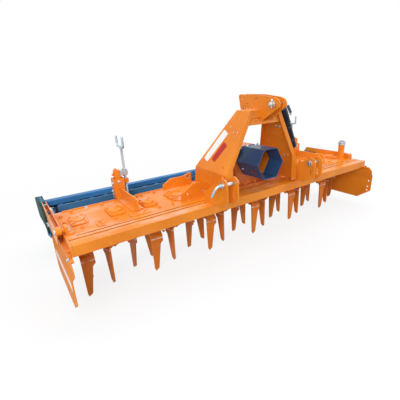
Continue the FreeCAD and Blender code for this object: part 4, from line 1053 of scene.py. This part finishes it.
def toothed_ring(bm, x):
    """One flat ring with 20 teeth, open in the middle, at a place along the drum."""
    centre = (ROLLER_Y, ROLLER_Z)
    outline = toothed(20, ((-0.16, 0.2049), (0.16, 0.2049), (0.34, 0.182), (0.66, 0.182)), centre,
                      -math.pi / 2)
    inner = circle(0.139, 40, centre)
    faces = []
    for depth in (x - 0.006, x + 0.006):
        loops = [[bm.verts.new((depth, y, z)) for y, z in points] for points in (outline, inner)]
        edges = [bm.edges.new((loop[k], loop[(k + 1) % len(loop)])) for loop in loops
                 for k in range(len(loop))]
        bmesh.ops.triangle_fill(bm, use_beauty=True, edges=edges)
        faces.append(loops)
    for first, second in zip(*faces):
        bridge(bm, first, second)


def packer_drum():
    drum = bmesh.new()
    lathe(drum, (-1.45, ROLLER_Y, ROLLER_Z), RIGHT,
          [(0.028, 0.010), (0.128, 0.010), (0.136, 0), (0.1399, 0.003), (0.1399, 2.897), (0.136, 2.9),
           (0.128, 2.890), (0.028, 2.890)], 64)
    for side in SIDES:
        lathe(drum, (side * 1.445, ROLLER_Y, ROLLER_Z), RIGHT * side,
              [(0.034, 0), (0.034, 0.012), (0.025, 0.014), (0.025, 0.054), (0.022, 0.057)], 32)
    for i in range(24):
        toothed_ring(drum, (i - 11.5) * RING_PITCH)
    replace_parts(finish_piece("packer_roller_toothed", drum, "packer_roller", "blue_paint", smooth=30),
                "packer_roller")


def roller_bearings():
    housing = bmesh.new()
    for side in SIDES:
        lathe(housing, (side * 1.5025, ROLLER_Y, ROLLER_Z), RIGHT * side,
              [(0.026, -0.001), (0.058, -0.001), (0.058, 0.006), (0.044, 0.010), (0.036, 0.020),
               (0.0, 0.021)], 40)
    finish_piece("roller_bearings", housing, "roller_frame", "blue_paint")


def scraper_rail():
    # The rail is painted near-black blue: painted shade behind the roller beam, where the floor would show
    # through.
    rail = bmesh.new()
    block(rail, (-1.474, 1.474), (0.726, 0.732), (0.418, 0.4435))
    finish_piece("scraper_rail", rail, "roller_frame", "blue_paint", PAINTED_SHADE_BLUE, bevel=0.001)


def beam_tabs():
    tabs = bmesh.new()
    for x in BETWEEN_RINGS:
        block(tabs, (x - 0.015, x + 0.015), (0.6895, 0.6935), (0.427, 0.446))
    finish_piece("roller_beam_tabs", tabs, "roller_frame", "blue_paint", bevel=0.001)


def roller_bolts():
    """Bolts of the bearings and of the side frames' upper flange."""
    bolts = bmesh.new()
    for side in SIDES:
        for y, z in circle(0.050, 4, (ROLLER_Y, ROLLER_Z), 0.5):
            bolt(bolts, (side * 1.507, y, z), RIGHT * side, 0.013, washer=False)
        for y in (0.275, 0.315, 0.420):
            bolt(bolts, (side * 1.5135, y, 0.520), UP, 0.014)
        for y in (0.68, 0.74, 0.80):
            bolt(bolts, (side * 1.513, y, 0.497), UP, 0.016)
    finish_piece("roller_bolts", bolts, "roller_frame", "blue_paint")


def arm_fittings():
    arms = bmesh.new()
    for side in SIDES:
        for y in (0.225, 0.180):
            bolt(arms, (side * 1.531, y, 0.470), RIGHT * side, 0.014)
        lathe(arms, (side * 1.531, PIVOT_Y, PIVOT_Z), RIGHT * side,
              [(0.0149, -0.002), (0.0149, 0.006), (0.012, 0.008)], 28)
        block(arms, sorted((side * 1.503, side * 1.525)), (0.395, 0.412), (0.520, 0.556))
    finish_piece("arm_fittings", arms, "roller_frame", "zinc_plate", bevel=0.0006, corner=60)


def scraper_bolts():
    bolts = bmesh.new()
    for x in BETWEEN_RINGS:
        for dx in (-0.030, 0.030):
            bolt(bolts, (x + dx, 0.861, 0.372), (0, 0.86, 0.5), 0.012)
    finish_piece("scraper_bolts", bolts, "roller_frame", "zinc_plate")


def side_plate_bolts():
    bolts = bmesh.new()
    for side in SIDES:
        for y in (-0.36, -0.05, 0.18):
            bolt(bolts, (side * 1.5127, y, 0.445), RIGHT * side, 0.016)
    finish_piece("side_plate_bolts", bolts, "frame", "zinc_plate")


for make_pieces in (
        lid_bolts, lid_ribs, lid_grooves, lid_plated_bolts, weld_beads, cap_bolts, trough_bolts, tine_bolts,
        headstock_bolts, pin_bosses, headstock_lip, blank_films, lower_pins, top_pin, pin_sleeves,
        gearbox_bolts, gearbox_ribs, gearbox_cover_bolts, guard_rims, gearbox_front, guard_screws,
        splined_shaft, oil_filler, document_tube, board_bars, board_clips, post_bolts, packer_drum,
        roller_bearings, scraper_rail, beam_tabs, roller_bolts, arm_fittings, scraper_bolts,
        side_plate_bolts):
    make_pieces()

# ---- floor, light and camera


def seen_directly(tree):
    """Two outputs: 1 for camera, transmission and glossy rays, and 1 for camera rays alone."""
    path = add_node(tree, "LightPath").outputs
    seen = path["Is Camera Ray"]
    for kind in ("Is Transmission Ray", "Is Glossy Ray"):
        seen = calculate(tree, "MAXIMUM", seen, path[kind])
    return seen, path["Is Camera Ray"]


def mix_shaders(tree, factor, first, second, output):
    mix = add_node(tree, "MixShader")
    for socket, value in zip(mix.inputs, (factor, first, second)):
        feed(tree, socket, value)
    tree.links.new(mix.outputs[0], tree.nodes[output].inputs["Surface"])


def floor_material():
    """White to the camera and in reflections, with the object's shadow left on it."""
    material, tree, shader = new_material("floor_white")
    tone = clouds(tree, 0.8, 3, [(0.3, grey(0.90)), (0.7, grey(0.94))])
    dull = clouds(tree, 0.8, 3, [(0.3, grey(0.36)), (0.7, grey(0.40))])
    set_inputs(shader, {"Roughness": 0.9})
    glow = add_node(tree, "Emission", Strength=1.0)
    seen, camera_ray = seen_directly(tree)
    tree.links.new(blend_colours(tree, camera_ray, dull, tone), shader.inputs["Base Color"])
    place = add_node(tree, "TexCoord")
    away = add_node(tree, "VectorMath")
    away.operation = "LENGTH"
    tree.links.new(place.outputs["Object"], away.inputs[0])
    fade = fit_range(tree, away.outputs["Value"], (1.6, 4.2, 0.84, 1.0), smooth=True)
    share = calculate(tree, "MULTIPLY", seen, fade)
    mix_shaders(tree, share, shader.outputs[0], glow.outputs[0], "Material Output")
    return material


def make_floor():
    mesh = bpy.data.meshes.new("floor")
    reach = 30
    mesh.from_pydata([(-reach, -reach, 0), (reach, -reach, 0), (reach, reach, 0), (-reach, reach, 0)],
                     [], [(0, 1, 2, 3)])
    floor = add_object("floor", mesh)
    mesh.materials.append(floor_material())


def make_world():
    world = bpy.data.worlds.new("studio")
    bpy.context.scene.world = world
    world.use_nodes = True
    tree = world.node_tree
    fill = tree.nodes["Background"]
    set_inputs(fill, {"Color": (0.93, 0.96, 1.0, 1), "Strength": 0.40})
    white = add_node(tree, "Background", Color=(1, 1, 1, 1))
    mix_shaders(tree, seen_directly(tree)[0], fill.outputs[0], white.outputs[0], "World Output")


def area_light(name, place, target, size, power):
    light = bpy.data.lights.new(name, "AREA")
    light.shape = "RECTANGLE"
    light.size, light.size_y = size
    light.energy = power
    lamp = add_object(name, light)
    lamp.location = place
    lamp.rotation_euler = (Vector(target) - Vector(place)).to_track_quat("-Z", "Y").to_euler()


def make_camera():
    """The photograph's own view: 34.8 degrees round to the left and 19.2 degrees down."""
    data = bpy.data.cameras.new("camera")
    data.sensor_width = 36
    data.lens = 27.304
    data.shift_x = -0.0426
    data.shift_y = -0.0144
    camera = add_object("camera", data)
    turn = (Matrix.Rotation(math.radians(-34.79), 4, "Z")
            @ Matrix.Rotation(math.radians(90 - 19.15), 4, "X")
            @ Matrix.Rotation(math.radians(-2.35), 4, "Z"))
    camera.matrix_world = Matrix.Translation((-1.6717, -2.2772, 1.3167)) @ turn
    bpy.context.scene.camera = camera


make_floor()
make_world()
area_light("overhead", (0.5, 0.5, 5.5), (0, 0, 0), (7, 5), 230)
area_light("front_left", (-5, -5, 3.5), (0, 0, 0.5), (4, 3), 300)
area_light("front_right", (4.5, -4.5, 2.5), (0, 0, 0.5), (3, 3), 90)
make_camera()
bpy.context.scene.view_settings.view_transform = "Standard"
